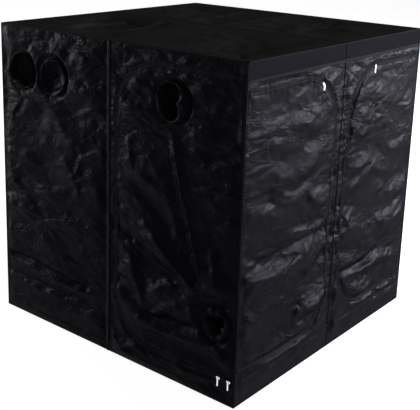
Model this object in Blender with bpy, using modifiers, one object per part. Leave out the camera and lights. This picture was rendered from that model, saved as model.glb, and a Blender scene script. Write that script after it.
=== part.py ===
"""Indoor grow tent: a steel pole frame inside a black fabric cover with zipped doors and duct ports.

Metres, +Z up. The origin is on the ground under the tent's centre. The double doors face -Y and the
side door faces -X. Each wall is drawn flat, with u to the right as seen from outside, v up and w out
of the tent, and is then stood up on its side by face_place.
"""

import math
from typing import NamedTuple

import bmesh
import bpy
from mathutils import Matrix, Vector

# Overall size of the cover
WIDTH = 2.0
DEPTH = 2.0
HEIGHT = 2.0

# Cover cloth
FABRIC = 0.002
SEAM_GAP = 0.0003
HEADER_DROP = 0.112
CUT_REACH = 0.1

# Pole frame
TUBE_RADIUS = 0.0125
TUBE_WALL = 0.0008
TUBE_SIDES = 12
BLOCK_PROUD = 0.001
BLOCK_BEVEL = 0.003
PEG_LENGTH = 0.045
PEG_CLEARANCE = 0.0004

# Hanging bars, which hook over the side rails
HOOK_STRIP = 0.0015
HOOK_WIDTH = 0.024
HOOK_LIP = 0.015
BAR_DROP = 0.038
BAR_PLACE = 0.45

# Spill tray
TRAY_HEIGHT = 0.1
TRAY_WALL = 0.0015
TRAY_GAP = 0.0045

# Doors: heights and edges of the front pair and of the side door
DOOR_HINGE_INSET = 0.015
DOOR_TOP_RADIUS = 0.34
DOOR_BOTTOM_RADIUS = 0.3
FRONT_DOOR_TOP = 1.826
FRONT_DOOR_BOTTOM = 0.23
FRONT_DOOR_FREE = 0.08
SIDE_DOOR_TOP = 1.905
SIDE_DOOR_BOTTOM = 0.16
SIDE_DOOR_FREE = 0.065
DOOR_HINGE_GAP = 0.0006
ARC_STEPS = 8

# Zips: a coil in the gap between door and wall, a slider over it and a hanging pull
ZIP_RADIUS = 0.003
ZIP_CLEARANCE = 0.001
ZIP_END_INSET = 0.01
SLIDER_LENGTH = 0.024
SLIDER_PLATE = 0.002
SLIDER_FLANGE = 0.002
SLIDER_CLEARANCE = 0.0005
SLIDER_HEADROOM = 0.0015
BAIL_RADIUS = 0.0011
BAIL_POST = 0.0015
BAIL_POST_LENGTH = 0.003
BAIL_HEIGHT = 0.0036
PULL_LENGTH = 0.05
PULL_WIDTH = 0.01
PULL_THICKNESS = 0.002
PULL_NECK = 0.0065
PULL_EYE_WALL = 0.0011
PULL_EYE_CLEARANCE = 0.0004
PULL_EYE_WIDTH = 0.007
SMALL_SIDES = 10

# Places of the sliders: share of the arc for the front pair, distance from the corner on the side door
FRONT_LEFT_SLIDER_ARC_SHARE = 0.339
FRONT_RIGHT_SLIDER_ARC_SHARE = 0.102
SIDE_SLIDER_PLACES = (0.114, 0.04)

# Duct ports: a round hole with a sewn flange and a fabric sleeve
PORT_RADIUS = 0.12
LOW_PORT_RADIUS = 0.1
SLEEVE_CLEARANCE = 0.0008
SLEEVE_WALL = 0.0025
SLEEVE_OUT = 0.03
SLEEVE_IN = 0.03
FLANGE_WIDTH = 0.012
FLANGE_THICKNESS = 0.0015
PORT_SIDES = 24
UPPER_PORT_HEIGHT = 1.71
PORT_A_FROM_CENTRE = 0.79
PORT_B_FROM_CENTRE = 0.49
PORT_C_FROM_CENTRE = 0.5
PORT_D_FROM_CENTRE = 0.856
PORT_D_HEIGHT = 0.485

# Hook-and-loop tab at the top of the side face
TAB_WIDTH = 0.07
TAB_HEIGHT = 0.042
TAB_THICKNESS = 0.003
TAB_FROM_CENTRE = 0.772

# Low air vent in the back wall, closed by a net inside and a flap outside
VENT_WIDTH = 0.5
VENT_HEIGHT = 0.2
VENT_FROM_CORNER = 0.5
VENT_ABOVE_FLOOR = 0.14
VENT_MARGIN = 0.02
NET_THICKNESS = 0.001

# Folds of the cloth: ridges that stand out of the flat wall, and the sag of the roof
FOLD_HEIGHT = 0.009
FOLD_WIDTH = 0.055
FOLD_PITCH = 0.075
FOLD_REACH = 0.06
ROOF_SAG = 0.014
ROOF_PITCH = 0.125
ROOF_REACH = 0.3

# Each ridge runs from (u, v) to (u, v), as shares of half the wall's length and of its height, and
# has a height and a width as shares of FOLD_HEIGHT and FOLD_WIDTH
LEFT_FOLD_SHARES = (
    (-0.64, 0.77, -0.90, 0.685, 0.8, 0.8),
    (-0.56, 0.775, -0.26, 0.67, 0.9, 0.9),
    (-0.98, 0.58, -0.67, 0.58, 0.8, 0.9),
    (-0.95, 0.635, -0.64, 0.64, 0.7, 0.8),
    (-0.54, 0.775, -0.31, 0.665, 0.7, 0.9),
    (-0.80, 0.44, -0.30, 0.30, 0.6, 1.2),
    (0.43, 0.795, 0.52, 0.675, 1.0, 0.8),
    (0.52, 0.675, 0.58, 0.575, 1.0, 0.8),
    (0.58, 0.575, 0.72, 0.405, 1.0, 0.9),
    (0.72, 0.405, 0.81, 0.305, 0.9, 0.8),
    (0.61, 0.855, 0.85, 0.93, 0.8, 0.8),
    (0.60, 0.805, 0.78, 0.685, 0.7, 0.8),
    (0.70, 0.625, 0.96, 0.635, 0.7, 0.8),
    (0.15, 0.51, 0.34, 0.42, 1.0, 1.2),
    (0.34, 0.42, 0.69, 0.33, 1.0, 1.2),
    (0.15, 0.38, 0.29, 0.205, 0.8, 1.0),
    (0.35, 0.195, 0.76, 0.17, 0.9, 1.0),
)
FRONT_FOLD_SHARES = (
    (-0.26, 0.80, -0.45, 0.665, 1.0, 1.0),
    (-0.45, 0.665, -0.70, 0.62, 0.9, 1.0),
    (-1.00, 0.63, -0.63, 0.625, 0.8, 0.8),
    (-1.00, 0.405, -0.27, 0.44, 1.0, 1.1),
    (-0.27, 0.44, -0.08, 0.42, 1.0, 0.9),
    (-0.08, 0.42, -0.35, 0.35, 0.8, 0.8),
    (-0.10, 0.42, -0.14, 0.22, 0.7, 0.7),
    (-0.38, 0.195, -0.13, 0.255, 0.8, 0.9),
    (0.14, 0.705, 0.31, 0.795, 0.9, 1.0),
    (0.15, 0.18, 0.47, 0.19, 0.8, 1.0),
    (0.25, 0.245, 0.96, 0.20, 0.8, 0.9),
)

# The slider's outline is drawn across and up: this lays it along u with its height along w
CHANNEL_STAND = Matrix(((0, 0, 1, 0), (-1, 0, 0, 0), (0, 1, 0, 0), (0, 0, 0, 1)))

# What follows from the sizes above
TUBE_FLAT_SHARE = math.cos(math.pi / TUBE_SIDES)
COVER_GAP = BLOCK_PROUD + HOOK_STRIP
BLOCK = 2 * (TUBE_RADIUS + BLOCK_PROUD)
PEG_RADIUS = TUBE_RADIUS - TUBE_WALL / TUBE_FLAT_SHARE - PEG_CLEARANCE
HOOK_CLEARANCE = BLOCK_PROUD / 2
FRAME_X = WIDTH / 2 - FABRIC - COVER_GAP - TUBE_RADIUS
FRAME_Y = DEPTH / 2 - FABRIC - COVER_GAP - TUBE_RADIUS
FRAME_LOW = FABRIC + SEAM_GAP + BLOCK / 2
FRAME_HIGH = HEIGHT - FABRIC - COVER_GAP - TUBE_RADIUS
ZIP_GAP = 2 * (ZIP_RADIUS + ZIP_CLEARANCE)
WALL_LOW = FABRIC + SEAM_GAP
WALL_HIGH = HEIGHT - FABRIC - SEAM_GAP
HEADER_LOW = HEIGHT - HEADER_DROP
FOLD_START = 1.5 * FOLD_PITCH


class Face(NamedTuple):
    """One side of the tent: how far it is turned about Z, its length and its distance from the centre."""

    name: str
    turn: float
    length: float
    reach: float
    frame_length: float
    frame_reach: float
    fold_shares: tuple


class Door(NamedTuple):
    """A door panel on a face. side is 1 where its hinge is at +u and -1 where it is at -u."""

    name: str
    face: Face
    side: int
    free: float
    top: float
    bottom: float


class Port(NamedTuple):
    """A duct port, and the door that carries it, or None where a wall does."""

    name: str
    face: Face
    u: float
    v: float
    radius: float
    door: Door


FRONT = Face("front", 0.0, WIDTH, DEPTH / 2, FRAME_X, FRAME_Y, FRONT_FOLD_SHARES)
RIGHT = Face("right", math.radians(90), DEPTH, WIDTH / 2, FRAME_Y, FRAME_X, ())
BACK = Face("back", math.radians(180), WIDTH, DEPTH / 2, FRAME_X, FRAME_Y, ())
LEFT = Face("left", math.radians(-90), DEPTH, WIDTH / 2, FRAME_Y, FRAME_X, LEFT_FOLD_SHARES)
FACES = (FRONT, RIGHT, BACK, LEFT)

FRONT_LEFT_DOOR = Door("front_left_door", FRONT, -1, FRONT_DOOR_FREE, FRONT_DOOR_TOP, FRONT_DOOR_BOTTOM)
FRONT_RIGHT_DOOR = Door("front_right_door", FRONT, 1, FRONT_DOOR_FREE, FRONT_DOOR_TOP, FRONT_DOOR_BOTTOM)
SIDE_DOOR = Door("side_door", LEFT, 1, SIDE_DOOR_FREE, SIDE_DOOR_TOP, SIDE_DOOR_BOTTOM)
DOORS = (FRONT_LEFT_DOOR, FRONT_RIGHT_DOOR, SIDE_DOOR)

PORTS = (
    Port("duct_sleeve_a", LEFT, -PORT_A_FROM_CENTRE, UPPER_PORT_HEIGHT, PORT_RADIUS, None),
    Port("duct_sleeve_b", LEFT, -PORT_B_FROM_CENTRE, UPPER_PORT_HEIGHT, PORT_RADIUS, None),
    Port("duct_sleeve_c", LEFT, PORT_C_FROM_CENTRE, UPPER_PORT_HEIGHT, PORT_RADIUS, SIDE_DOOR),
    Port("duct_sleeve_d", LEFT, PORT_D_FROM_CENTRE, PORT_D_HEIGHT, LOW_PORT_RADIUS, SIDE_DOOR),
)


def hinge_edge(door):
    """Distance of the door's sewn edge from the face's centre line."""
    return door.face.length / 2 - DOOR_HINGE_INSET


# Scene and objects

def clear_scene():
    for old in list(bpy.data.objects):
        bpy.data.objects.remove(old, do_unlink=True)


def new_collection(name):
    made = bpy.data.collections.new(name)
    bpy.context.scene.collection.children.link(made)
    return made


def new_material(name, colour, roughness, metallic=0.0):
    made = bpy.data.materials.new(name)
    made.use_nodes = True
    shader = made.node_tree.nodes["Principled BSDF"]
    shader.inputs["Base Color"].default_value = (*colour, 1.0)
    shader.inputs["Roughness"].default_value = roughness
    shader.inputs["Metallic"].default_value = metallic
    made.diffuse_color = (*colour, 1.0)
    return made


def add(name, mesh, place, material=None, collection=None):
    """One object of the tent, at its place."""
    made = bpy.data.objects.new(name, mesh)
    (collection or TENT).objects.link(made)
    made.matrix_world = place
    if material and not mesh.materials:
        mesh.materials.append(material)
    return made


def add_cutter(name, mesh, place):
    made = add(name, mesh, place, collection=CUTTERS)
    made.hide_render = True
    made.display_type = "WIRE"
    return made


def cut(piece, cutter, operation="DIFFERENCE"):
    boolean = piece.modifiers.new(cutter.name, "BOOLEAN")
    boolean.operation = operation
    boolean.solver = "EXACT"
    boolean.object = cutter


def solidify(piece, thickness):
    shell = piece.modifiers.new("thickness", "SOLIDIFY")
    shell.thickness = thickness
    shell.offset = -1.0


def pivot(name, point, carrier=None):
    """An empty on a joint's axis. What moves with the joint is hung on it."""
    empty = bpy.data.objects.new(name, None)
    TENT.objects.link(empty)
    empty.location = point
    if carrier:
        hang(empty, carrier)
    return empty


def hang(piece, carrier):
    """Parent a piece to a pivot and leave it where it is."""
    piece.parent = carrier
    piece.matrix_parent_inverse = Matrix.Translation(-carrier.location)


# Meshes

def mesh_from(bm, name):
    mesh = bpy.data.meshes.new(name)
    bm.to_mesh(mesh)
    bm.free()
    return mesh


def box_mesh(name, low, high):
    low, high = Vector(low), Vector(high)
    bm = bmesh.new()
    stretch = Matrix.Diagonal((*(high - low), 1.0))
    bmesh.ops.create_cube(bm, size=1.0, matrix=Matrix.Translation((low + high) / 2) @ stretch)
    return mesh_from(bm, name)


def cylinder_mesh(name, radius, length, sides, turn=None, capped=True):
    """A cylinder from the origin along +Z, or along the direction that turn gives it."""
    bm = bmesh.new()
    place = (turn or Matrix()) @ Matrix.Translation((0, 0, length / 2))
    bmesh.ops.create_cone(
        bm, cap_ends=capped, segments=sides, radius1=radius, radius2=radius, depth=length, matrix=place
    )
    return mesh_from(bm, name)


def outline_mesh(name, points, low, high):
    """A flat outline in u and v, filled and extruded from low to high along w."""
    curve = bpy.data.curves.new(name, "CURVE")
    curve.dimensions = "2D"
    curve.fill_mode = "BOTH"
    curve.extrude = (high - low) / 2
    spline = curve.splines.new("POLY")
    spline.points.add(len(points) - 1)
    spline.use_cyclic_u = True
    for point, (u, v) in zip(spline.points, points, strict=True):
        point.co = (u, v, 0.0, 1.0)
    drawn = bpy.data.objects.new(name, curve)
    TENT.objects.link(drawn)
    mesh = baked(drawn, name)
    bpy.data.curves.remove(curve)
    bm = bmesh.new()
    bm.from_mesh(mesh)
    bmesh.ops.remove_doubles(bm, verts=bm.verts, dist=SEAM_GAP / 10)
    bmesh.ops.translate(bm, verts=bm.verts, vec=(0, 0, (low + high) / 2))
    bmesh.ops.recalc_face_normals(bm, faces=bm.faces)
    bm.to_mesh(mesh)
    bm.free()
    return mesh


def baked(piece, name):
    """The piece's evaluated mesh. The piece itself is removed."""
    bpy.context.view_layer.update()
    seen = piece.evaluated_get(bpy.context.evaluated_depsgraph_get())
    mesh = bpy.data.meshes.new_from_object(seen)
    mesh.name = name
    bpy.data.objects.remove(piece, do_unlink=True)
    return mesh


def united(name, meshes):
    """One mesh from several that overlap."""
    whole = add(name, meshes[0], Matrix())
    others = [add_cutter(f"{name}_{mesh.name}", mesh, Matrix()) for mesh in meshes[1:]]
    for other in others:
        cut(whole, other, "UNION")
    mesh = baked(whole, name)
    for other in others:
        bpy.data.objects.remove(other, do_unlink=True)
    return mesh


def shade_round(mesh):
    mesh.shade_smooth()
    mesh.set_sharp_from_angle(angle=math.radians(40))
    return mesh


def facing(direction):
    """The turn that takes +Z to a direction along an axis."""
    return Vector((0, 0, 1)).rotation_difference(Vector(direction)).to_matrix().to_4x4()


# Pole frame

def tube_mesh(name, length, direction):
    """A round steel tube, open at both ends, centred on the origin."""
    middle = Matrix.Translation(Vector(direction) * (-length / 2))
    shell = cylinder_mesh(name, TUBE_RADIUS, length, TUBE_SIDES, middle @ facing(direction), False)
    pipe = add(name, shell, Matrix())
    solidify(pipe, TUBE_WALL)
    pipe.modifiers["thickness"].use_even_offset = True
    return shade_round(baked(pipe, name))


def block_mesh(name):
    """The cube in the middle of a connector, with its edges taken off."""
    bm = bmesh.new()
    bmesh.ops.create_cube(bm, size=BLOCK)
    bmesh.ops.bevel(
        bm, geom=list(bm.edges), offset=BLOCK_BEVEL, segments=1, affect="EDGES", profile=0.5
    )
    return mesh_from(bm, name)


def peg_mesh(direction):
    length = BLOCK / 2 + PEG_LENGTH
    return cylinder_mesh("peg", PEG_RADIUS, length, TUBE_SIDES, facing(direction))


def connector_mesh(name, directions):
    return shade_round(united(name, [block_mesh(name), *map(peg_mesh, directions)]))


def railed_mesh(name, length, along, peg_directions):
    """A rail with its middle connector: pegs stand out of the block in the middle of a tube."""
    pegs = [peg_mesh(direction) for direction in peg_directions]
    return shade_round(united(name, [tube_mesh(name, length, along), block_mesh("block"), *pegs]))


def place_at(x, y, z, turn=0.0):
    return Matrix.Translation((x, y, z)) @ Matrix.Rotation(turn, 4, "Z")


def face_frame(face, z):
    """Where a rail lies: u along X, inwards along +Y, on the face's line of poles."""
    return Matrix.Rotation(face.turn, 4, "Z") @ Matrix.Translation((0, -face.frame_reach, z))


def make_frame():
    pole_length = FRAME_HIGH - FRAME_LOW - BLOCK - 2 * SEAM_GAP
    pole_middle = (FRAME_HIGH + FRAME_LOW) / 2
    pole = tube_mesh("pole", pole_length, (0, 0, 1))
    corner = connector_mesh("corner", ((1, 0, 0), (0, 1, 0), (0, 0, 1)))
    corners = (("front_left", -1, -1, 0), ("front_right", 1, -1, 90),
               ("back_right", 1, 1, 180), ("back_left", -1, 1, 270))
    for name, side_x, side_y, turn in corners:
        x, y = side_x * FRAME_X, side_y * FRAME_Y
        add(f"corner_pole_{name}", pole, place_at(x, y, pole_middle), WHITE_STEEL)
        low = place_at(x, y, FRAME_LOW, math.radians(turn))
        add(f"corner_connector_low_{name}", corner, low, CONNECTOR_STEEL)
        high = place_at(x, y, FRAME_HIGH, math.radians(turn + 90)) @ Matrix.Rotation(math.pi, 4, "X")
        add(f"corner_connector_high_{name}", corner, high, CONNECTOR_STEEL)
    for face in FACES:
        length = 2 * face.frame_length - BLOCK - 2 * SEAM_GAP
        low = railed_mesh("bottom_rail", length, (1, 0, 0), [(0, 0, 1)])
        add(f"bottom_rail_{face.name}", low, face_frame(face, FRAME_LOW), WHITE_STEEL)
        high = railed_mesh("top_rail", length, (1, 0, 0), [(0, 0, -1), (0, 1, 0)])
        add(f"top_rail_{face.name}", high, face_frame(face, FRAME_HIGH), WHITE_STEEL)
        add(f"mid_pole_{face.name}", pole, face_frame(face, pole_middle), WHITE_STEEL)
    make_roof_bars()


def make_roof_bars():
    """A bar from front to back with a cross block, and two side bars on the block's pegs."""
    length = 2 * FRAME_Y - BLOCK - 2 * SEAM_GAP
    middle = railed_mesh("roof_bar", length, (0, 1, 0), [(1, 0, 0), (-1, 0, 0)])
    add("roof_bar_middle", middle, place_at(0, 0, FRAME_HIGH), WHITE_STEEL)
    length = FRAME_X - BLOCK - 2 * SEAM_GAP
    half = tube_mesh("roof_bar_half", length, (1, 0, 0))
    for name, side in (("left", -1), ("right", 1)):
        add(f"roof_bar_{name}", half, place_at(side * FRAME_X / 2, 0, FRAME_HIGH), WHITE_STEEL)


# Hanging bars and spill tray

def hook_outline(side):
    """The bent strip at one end of a hanging bar: up beside the rail, over it and down a short lip.

    It starts at the bar's centre line, so the lower half of the bar's end stays open.
    """
    inner = TUBE_RADIUS + HOOK_CLEARANCE
    outer = inner + HOOK_STRIP
    foot = -BAR_DROP
    lip = TUBE_RADIUS - HOOK_LIP
    shape = ((-outer, foot), (-outer, outer), (outer, outer), (outer, lip),
             (inner, lip), (inner, inner), (-inner, inner), (-inner, foot))
    return [(side * (FRAME_X + across), up + BAR_DROP) for across, up in shape]


def make_hanging_bars():
    """Two bars from side rail to side rail, for hanging a lamp or a filter. They slide along Y."""
    length = 2 * (FRAME_X - TUBE_RADIUS - HOOK_CLEARANCE - HOOK_STRIP / 2)
    upright = Matrix.Rotation(math.radians(90), 4, "X")
    hooks = []
    for side in (-1, 1):
        hook = outline_mesh(f"hook_{side}", hook_outline(side), -HOOK_WIDTH / 2, HOOK_WIDTH / 2)
        hook.transform(upright)
        hooks.append(hook)
    bar = united("hanging_bar", [tube_mesh("bar", length, (1, 0, 0)), *hooks])
    for name, side in (("front", -1), ("back", 1)):
        point = (0, side * BAR_PLACE, FRAME_HIGH - BAR_DROP)
        add(f"hanging_bar_{name}", bar, Matrix.Translation(point), WHITE_STEEL)


def make_spill_tray():
    half_x = FRAME_X - BLOCK / 2 - TRAY_GAP
    half_y = FRAME_Y - BLOCK / 2 - TRAY_GAP
    floor = FABRIC + SEAM_GAP
    mesh = box_mesh("spill_tray", (-half_x, -half_y, floor), (half_x, half_y, floor + TRAY_HEIGHT))
    bm = bmesh.new()
    bm.from_mesh(mesh)
    lid = [face for face in bm.faces if face.normal.z > 0.5]
    bmesh.ops.delete(bm, geom=lid, context="FACES_ONLY")
    bm.to_mesh(mesh)
    bm.free()
    tray = add("spill_tray", mesh, Matrix(), TRAY_FABRIC)
    solidify(tray, TRAY_WALL)


# Cloth and its folds

def smooth(share):
    share = min(max(share, 0.0), 1.0)
    return share * share * (3 - 2 * share)


def along_door_edge(door, u, v):
    """Distance from a point of the face to the door's edge, from inside or outside."""
    hinge = hinge_edge(door)
    across = door.side * u - (hinge + door.free) / 2
    up = v - (door.top + door.bottom) / 2
    corner = DOOR_TOP_RADIUS if up > 0 else DOOR_BOTTOM_RADIUS
    if across > 0:
        corner = 0.0
    beyond_u = abs(across) - (hinge - door.free) / 2 + corner
    beyond_v = abs(up) - (door.top - door.bottom) / 2 + corner
    outside = math.hypot(max(beyond_u, 0.0), max(beyond_v, 0.0))
    return abs(min(max(beyond_u, beyond_v), 0.0) + outside - corner)


def calm(face, u, v):
    """0 where the cloth is held flat, at seams, poles, zips and ports, and 1 well away from them."""
    gaps = [face.length / 2 - abs(u), abs(u), v, HEIGHT - v]
    gaps += [along_door_edge(door, u, v) for door in DOORS if door.face is face]
    for port in PORTS:
        if port.face is face:
            gaps.append(math.hypot(u - port.u, v - port.v) - port.radius - FLANGE_WIDTH)
    return smooth((min(gaps) - FOLD_START) / FOLD_REACH)


def ridge(point, start, end, height, width):
    """Height at a point of a ridge that runs from start to end."""
    run = end - start
    share = min(max((point - start).dot(run) / run.length_squared, 0.0), 1.0)
    gap = (point - start - run * share).length
    return height * math.exp(-((gap / width) ** 2))


def wall_fold(face, u, v):
    """How far the cloth stands out of the face's plane."""
    half = face.length / 2
    highest = 0.0
    for u0, v0, u1, v1, height_share, width_share in face.fold_shares:
        start, end = Vector((u0 * half, v0 * HEIGHT)), Vector((u1 * half, v1 * HEIGHT))
        rise = ridge(Vector((u, v)), start, end, height_share * FOLD_HEIGHT, width_share * FOLD_WIDTH)
        highest = max(highest, rise)
    return highest * calm(face, u, v)


def roof_fold(u, v):
    """The roof hangs a little between its bars, and lies flat for one cell of its grid beside them."""
    gap = min(WIDTH / 2 - abs(u), DEPTH / 2 - abs(v), abs(u), abs(v))
    return -ROOF_SAG * smooth((gap - ROOF_PITCH) / ROOF_REACH)


def cloth_mesh(name, low, high, pitch, fold):
    """A sheet over a rectangle of u and v, lifted by its folds."""
    size_u, size_v = high[0] - low[0], high[1] - low[1]
    place = Matrix.Translation(((low[0] + high[0]) / 2, (low[1] + high[1]) / 2, 0))
    bm = bmesh.new()
    bmesh.ops.create_grid(
        bm, x_segments=max(round(size_u / pitch), 1), y_segments=max(round(size_v / pitch), 1),
        size=0.5, matrix=place @ Matrix.Diagonal((size_u, size_v, 1.0, 1.0)),
    )
    for vert in bm.verts:
        vert.co.z = fold(vert.co.x, vert.co.y)
    mesh = mesh_from(bm, name)
    mesh.shade_smooth()
    return mesh


def face_place(face):
    """Stands a sheet drawn in u, v and w up on its side of the tent."""
    stand = Matrix.Rotation(math.radians(90), 4, "X")
    return Matrix.Rotation(face.turn, 4, "Z") @ Matrix.Translation((0, -face.reach, 0)) @ stand


def on_face(face, u, v, w):
    """The point in the tent's own axes."""
    return face_place(face) @ Vector((u, v, w))


def door_line(door, grow, start_inset):
    """The door's top, free edge and bottom as one line, grown outwards, from hinge side to hinge side."""
    hinge = hinge_edge(door) - start_inset
    free = door.free - grow
    points = [(hinge, door.top + grow)]
    for radius, centre_v, first in (
        (DOOR_TOP_RADIUS, door.top - DOOR_TOP_RADIUS, 90),
        (DOOR_BOTTOM_RADIUS, door.bottom + DOOR_BOTTOM_RADIUS, 180),
    ):
        for step in range(ARC_STEPS + 1):
            angle = math.radians(first + 90 * step / ARC_STEPS)
            reach = radius + grow
            centre_u = free + reach
            points.append((centre_u + reach * math.cos(angle), centre_v + reach * math.sin(angle)))
    points.append((hinge, door.bottom - grow))
    return [(door.side * u, v) for u, v in points]


def door_solid(door, name, grow, hinge_gap):
    """The door's outline as a thick plate, to cut the door out of its cloth and its hole out of the wall."""
    points = door_line(door, grow, -hinge_gap)
    return add_cutter(name, outline_mesh(name, points, -CUT_REACH, CUT_REACH), face_place(door.face))


def port_solid(port):
    name = f"{port.name}_hole"
    mesh = cylinder_mesh(name, port.radius, 2 * CUT_REACH, PORT_SIDES)
    place = face_place(port.face) @ Matrix.Translation((port.u, port.v, -CUT_REACH))
    return add_cutter(name, mesh, place)


def wall_plate(name, face, low, high):
    mesh = box_mesh(name, (*low, -FABRIC), (*high, 0.0))
    return add(name, mesh, face_place(face), BLACK_FABRIC)


def make_walls():
    """The cover's fixed panels. The two side walls run the full depth and the others fit between."""
    inset = WIDTH / 2 - FABRIC - SEAM_GAP
    side = DEPTH / 2
    half_seam = SEAM_GAP / 2
    wall_plate("front_header", FRONT, (-inset, HEADER_LOW + half_seam), (inset, WALL_HIGH))
    under = HEADER_LOW - half_seam
    left = wall_plate("front_wall_left", FRONT, (-inset, WALL_LOW), (-half_seam, under))
    right = wall_plate("front_wall_right", FRONT, (half_seam, WALL_LOW), (inset, under))
    side_front = wall_plate("left_wall_front", LEFT, (half_seam, WALL_LOW), (side, WALL_HIGH))
    for wall, door in ((left, FRONT_LEFT_DOOR), (right, FRONT_RIGHT_DOOR), (side_front, SIDE_DOOR)):
        cut(wall, door_solid(door, f"{door.name}_hole", ZIP_GAP, DOOR_HINGE_GAP))
    back_half = cloth_mesh(
        "left_wall_back", (-side, WALL_LOW), (-half_seam, WALL_HIGH), FOLD_PITCH,
        lambda u, v: wall_fold(LEFT, u, v),
    )
    ported = add("left_wall_back", back_half, face_place(LEFT), BLACK_FABRIC)
    solidify(ported, FABRIC)
    for port in PORTS:
        if not port.door:
            cut(ported, port_solid(port))
    wall_plate("right_wall", RIGHT, (-side, WALL_LOW), (side, WALL_HIGH))
    make_back_wall(inset)


def make_back_wall(inset):
    """The back wall has a low vent: a window with a net behind it and a flap in front."""
    back = wall_plate("back_wall", BACK, (-inset, WALL_LOW), (inset, WALL_HIGH))
    middle = WIDTH / 2 - VENT_FROM_CORNER
    low = Vector((middle - VENT_WIDTH / 2, VENT_ABOVE_FLOOR))
    high = low + Vector((VENT_WIDTH, VENT_HEIGHT))
    margin = Vector((VENT_MARGIN, VENT_MARGIN))
    window = box_mesh("vent_window", (*low, -CUT_REACH), (*high, CUT_REACH))
    cut(back, add_cutter("vent_window", window, face_place(BACK)))
    net_out = -FABRIC - SEAM_GAP
    net = box_mesh("vent_net", (*(low - margin), net_out - NET_THICKNESS), (*(high + margin), net_out))
    add("vent_net", net, face_place(BACK), NET)
    flap = box_mesh("vent_flap", (*(low - margin), SEAM_GAP), (*(high + margin), SEAM_GAP + FABRIC))
    axis = on_face(BACK, middle, high.y + VENT_MARGIN, SEAM_GAP + FABRIC / 2)
    hang(add("vent_flap", flap, face_place(BACK), BLACK_FABRIC), pivot("vent_flap_pivot", axis))


def make_roof_and_floor():
    low, high = (-WIDTH / 2, -DEPTH / 2), (WIDTH / 2, DEPTH / 2)
    roof = cloth_mesh("roof_sheet", low, high, ROOF_PITCH, roof_fold)
    solidify(add("roof_sheet", roof, Matrix.Translation((0, 0, HEIGHT)), BLACK_FABRIC), FABRIC)
    floor = box_mesh("floor_sheet", (*low, 0.0), (*high, FABRIC))
    add("floor_sheet", floor, Matrix(), BLACK_FABRIC)


def make_tab():
    low = (TAB_FROM_CENTRE - TAB_WIDTH / 2, WALL_HIGH - TAB_HEIGHT, SEAM_GAP)
    high = (TAB_FROM_CENTRE + TAB_WIDTH / 2, WALL_HIGH, SEAM_GAP + TAB_THICKNESS)
    add("hook_and_loop_tab", box_mesh("hook_and_loop_tab", low, high), face_place(LEFT), WEBBING)


# Duct sleeves

def sleeve_mesh(port):
    """A turned sleeve: a tube through the wall with a flange flat against its outer side."""
    outer = port.radius - SLEEVE_CLEARANCE
    inner = outer - SLEEVE_WALL
    rim = port.radius + FLANGE_WIDTH
    flange = SEAM_GAP + FLANGE_THICKNESS
    profile = ((outer, SLEEVE_OUT), (outer, flange), (rim, flange), (rim, SEAM_GAP),
               (outer, SEAM_GAP), (outer, -SLEEVE_IN), (inner, -SLEEVE_IN), (inner, SLEEVE_OUT))
    bm = bmesh.new()
    verts = [bm.verts.new((radius, 0.0, w)) for radius, w in profile]
    for first, second in zip(verts, verts[1:] + verts[:1], strict=True):
        bm.edges.new((first, second))
    return mesh_from(bm, port.name)


def make_sleeves(door_pivots):
    for port in PORTS:
        place = face_place(port.face) @ Matrix.Translation((port.u, port.v, 0))
        sleeve = add(port.name, sleeve_mesh(port), place, BLACK_FABRIC)
        turned = sleeve.modifiers.new("turned", "SCREW")
        turned.steps = PORT_SIDES
        turned.render_steps = PORT_SIDES
        turned.use_merge_vertices = True
        turned.merge_threshold = SEAM_GAP / 10
        turned.use_smooth_shade = False
        if port.door:
            hang(sleeve, door_pivots[port.door.name])


# Doors and zips

def make_door(door):
    """The door's cloth and its zip coil, hung on the line where the door is sewn to the wall."""
    hinge = hinge_edge(door)
    axis = pivot(f"{door.name}_pivot", on_face(door.face, door.side * hinge, 0, 0))
    ends = sorted((door.side * (door.free - ZIP_GAP), door.side * (hinge + ZIP_GAP)))
    cloth = cloth_mesh(
        door.name, (ends[0], door.bottom - ZIP_GAP), (ends[1], door.top + ZIP_GAP), FOLD_PITCH,
        lambda u, v: wall_fold(door.face, u, v),
    )
    panel = add(door.name, cloth, face_place(door.face), BLACK_FABRIC)
    solidify(panel, FABRIC)
    cut(panel, door_solid(door, f"{door.name}_outline", 0.0, 0.0), "INTERSECT")
    for port in PORTS:
        if port.door is door:
            cut(panel, port_solid(port))
    hang(panel, axis)
    hang(zip_coil(door), axis)
    return axis


def zip_coil(door):
    """The closed coil in the middle of the gap round the door."""
    curve = bpy.data.curves.new(f"{door.name}_zip", "CURVE")
    curve.dimensions = "3D"
    curve.bevel_depth = ZIP_RADIUS
    curve.bevel_resolution = 1
    curve.use_fill_caps = True
    line = door_line(door, ZIP_GAP / 2, ZIP_END_INSET)
    spline = curve.splines.new("POLY")
    spline.points.add(len(line) - 1)
    for point, (u, v) in zip(spline.points, line, strict=True):
        point.co = (u, v, -FABRIC / 2, 1.0)
    curve.materials.append(ZIP_TAPE)
    return add(f"{door.name}_zip", curve, face_place(door.face))


def slider_top():
    """Height above the cloth of the slider's plate, which clears the coil."""
    return ZIP_RADIUS - FABRIC / 2 + SLIDER_HEADROOM + SLIDER_PLATE


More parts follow.
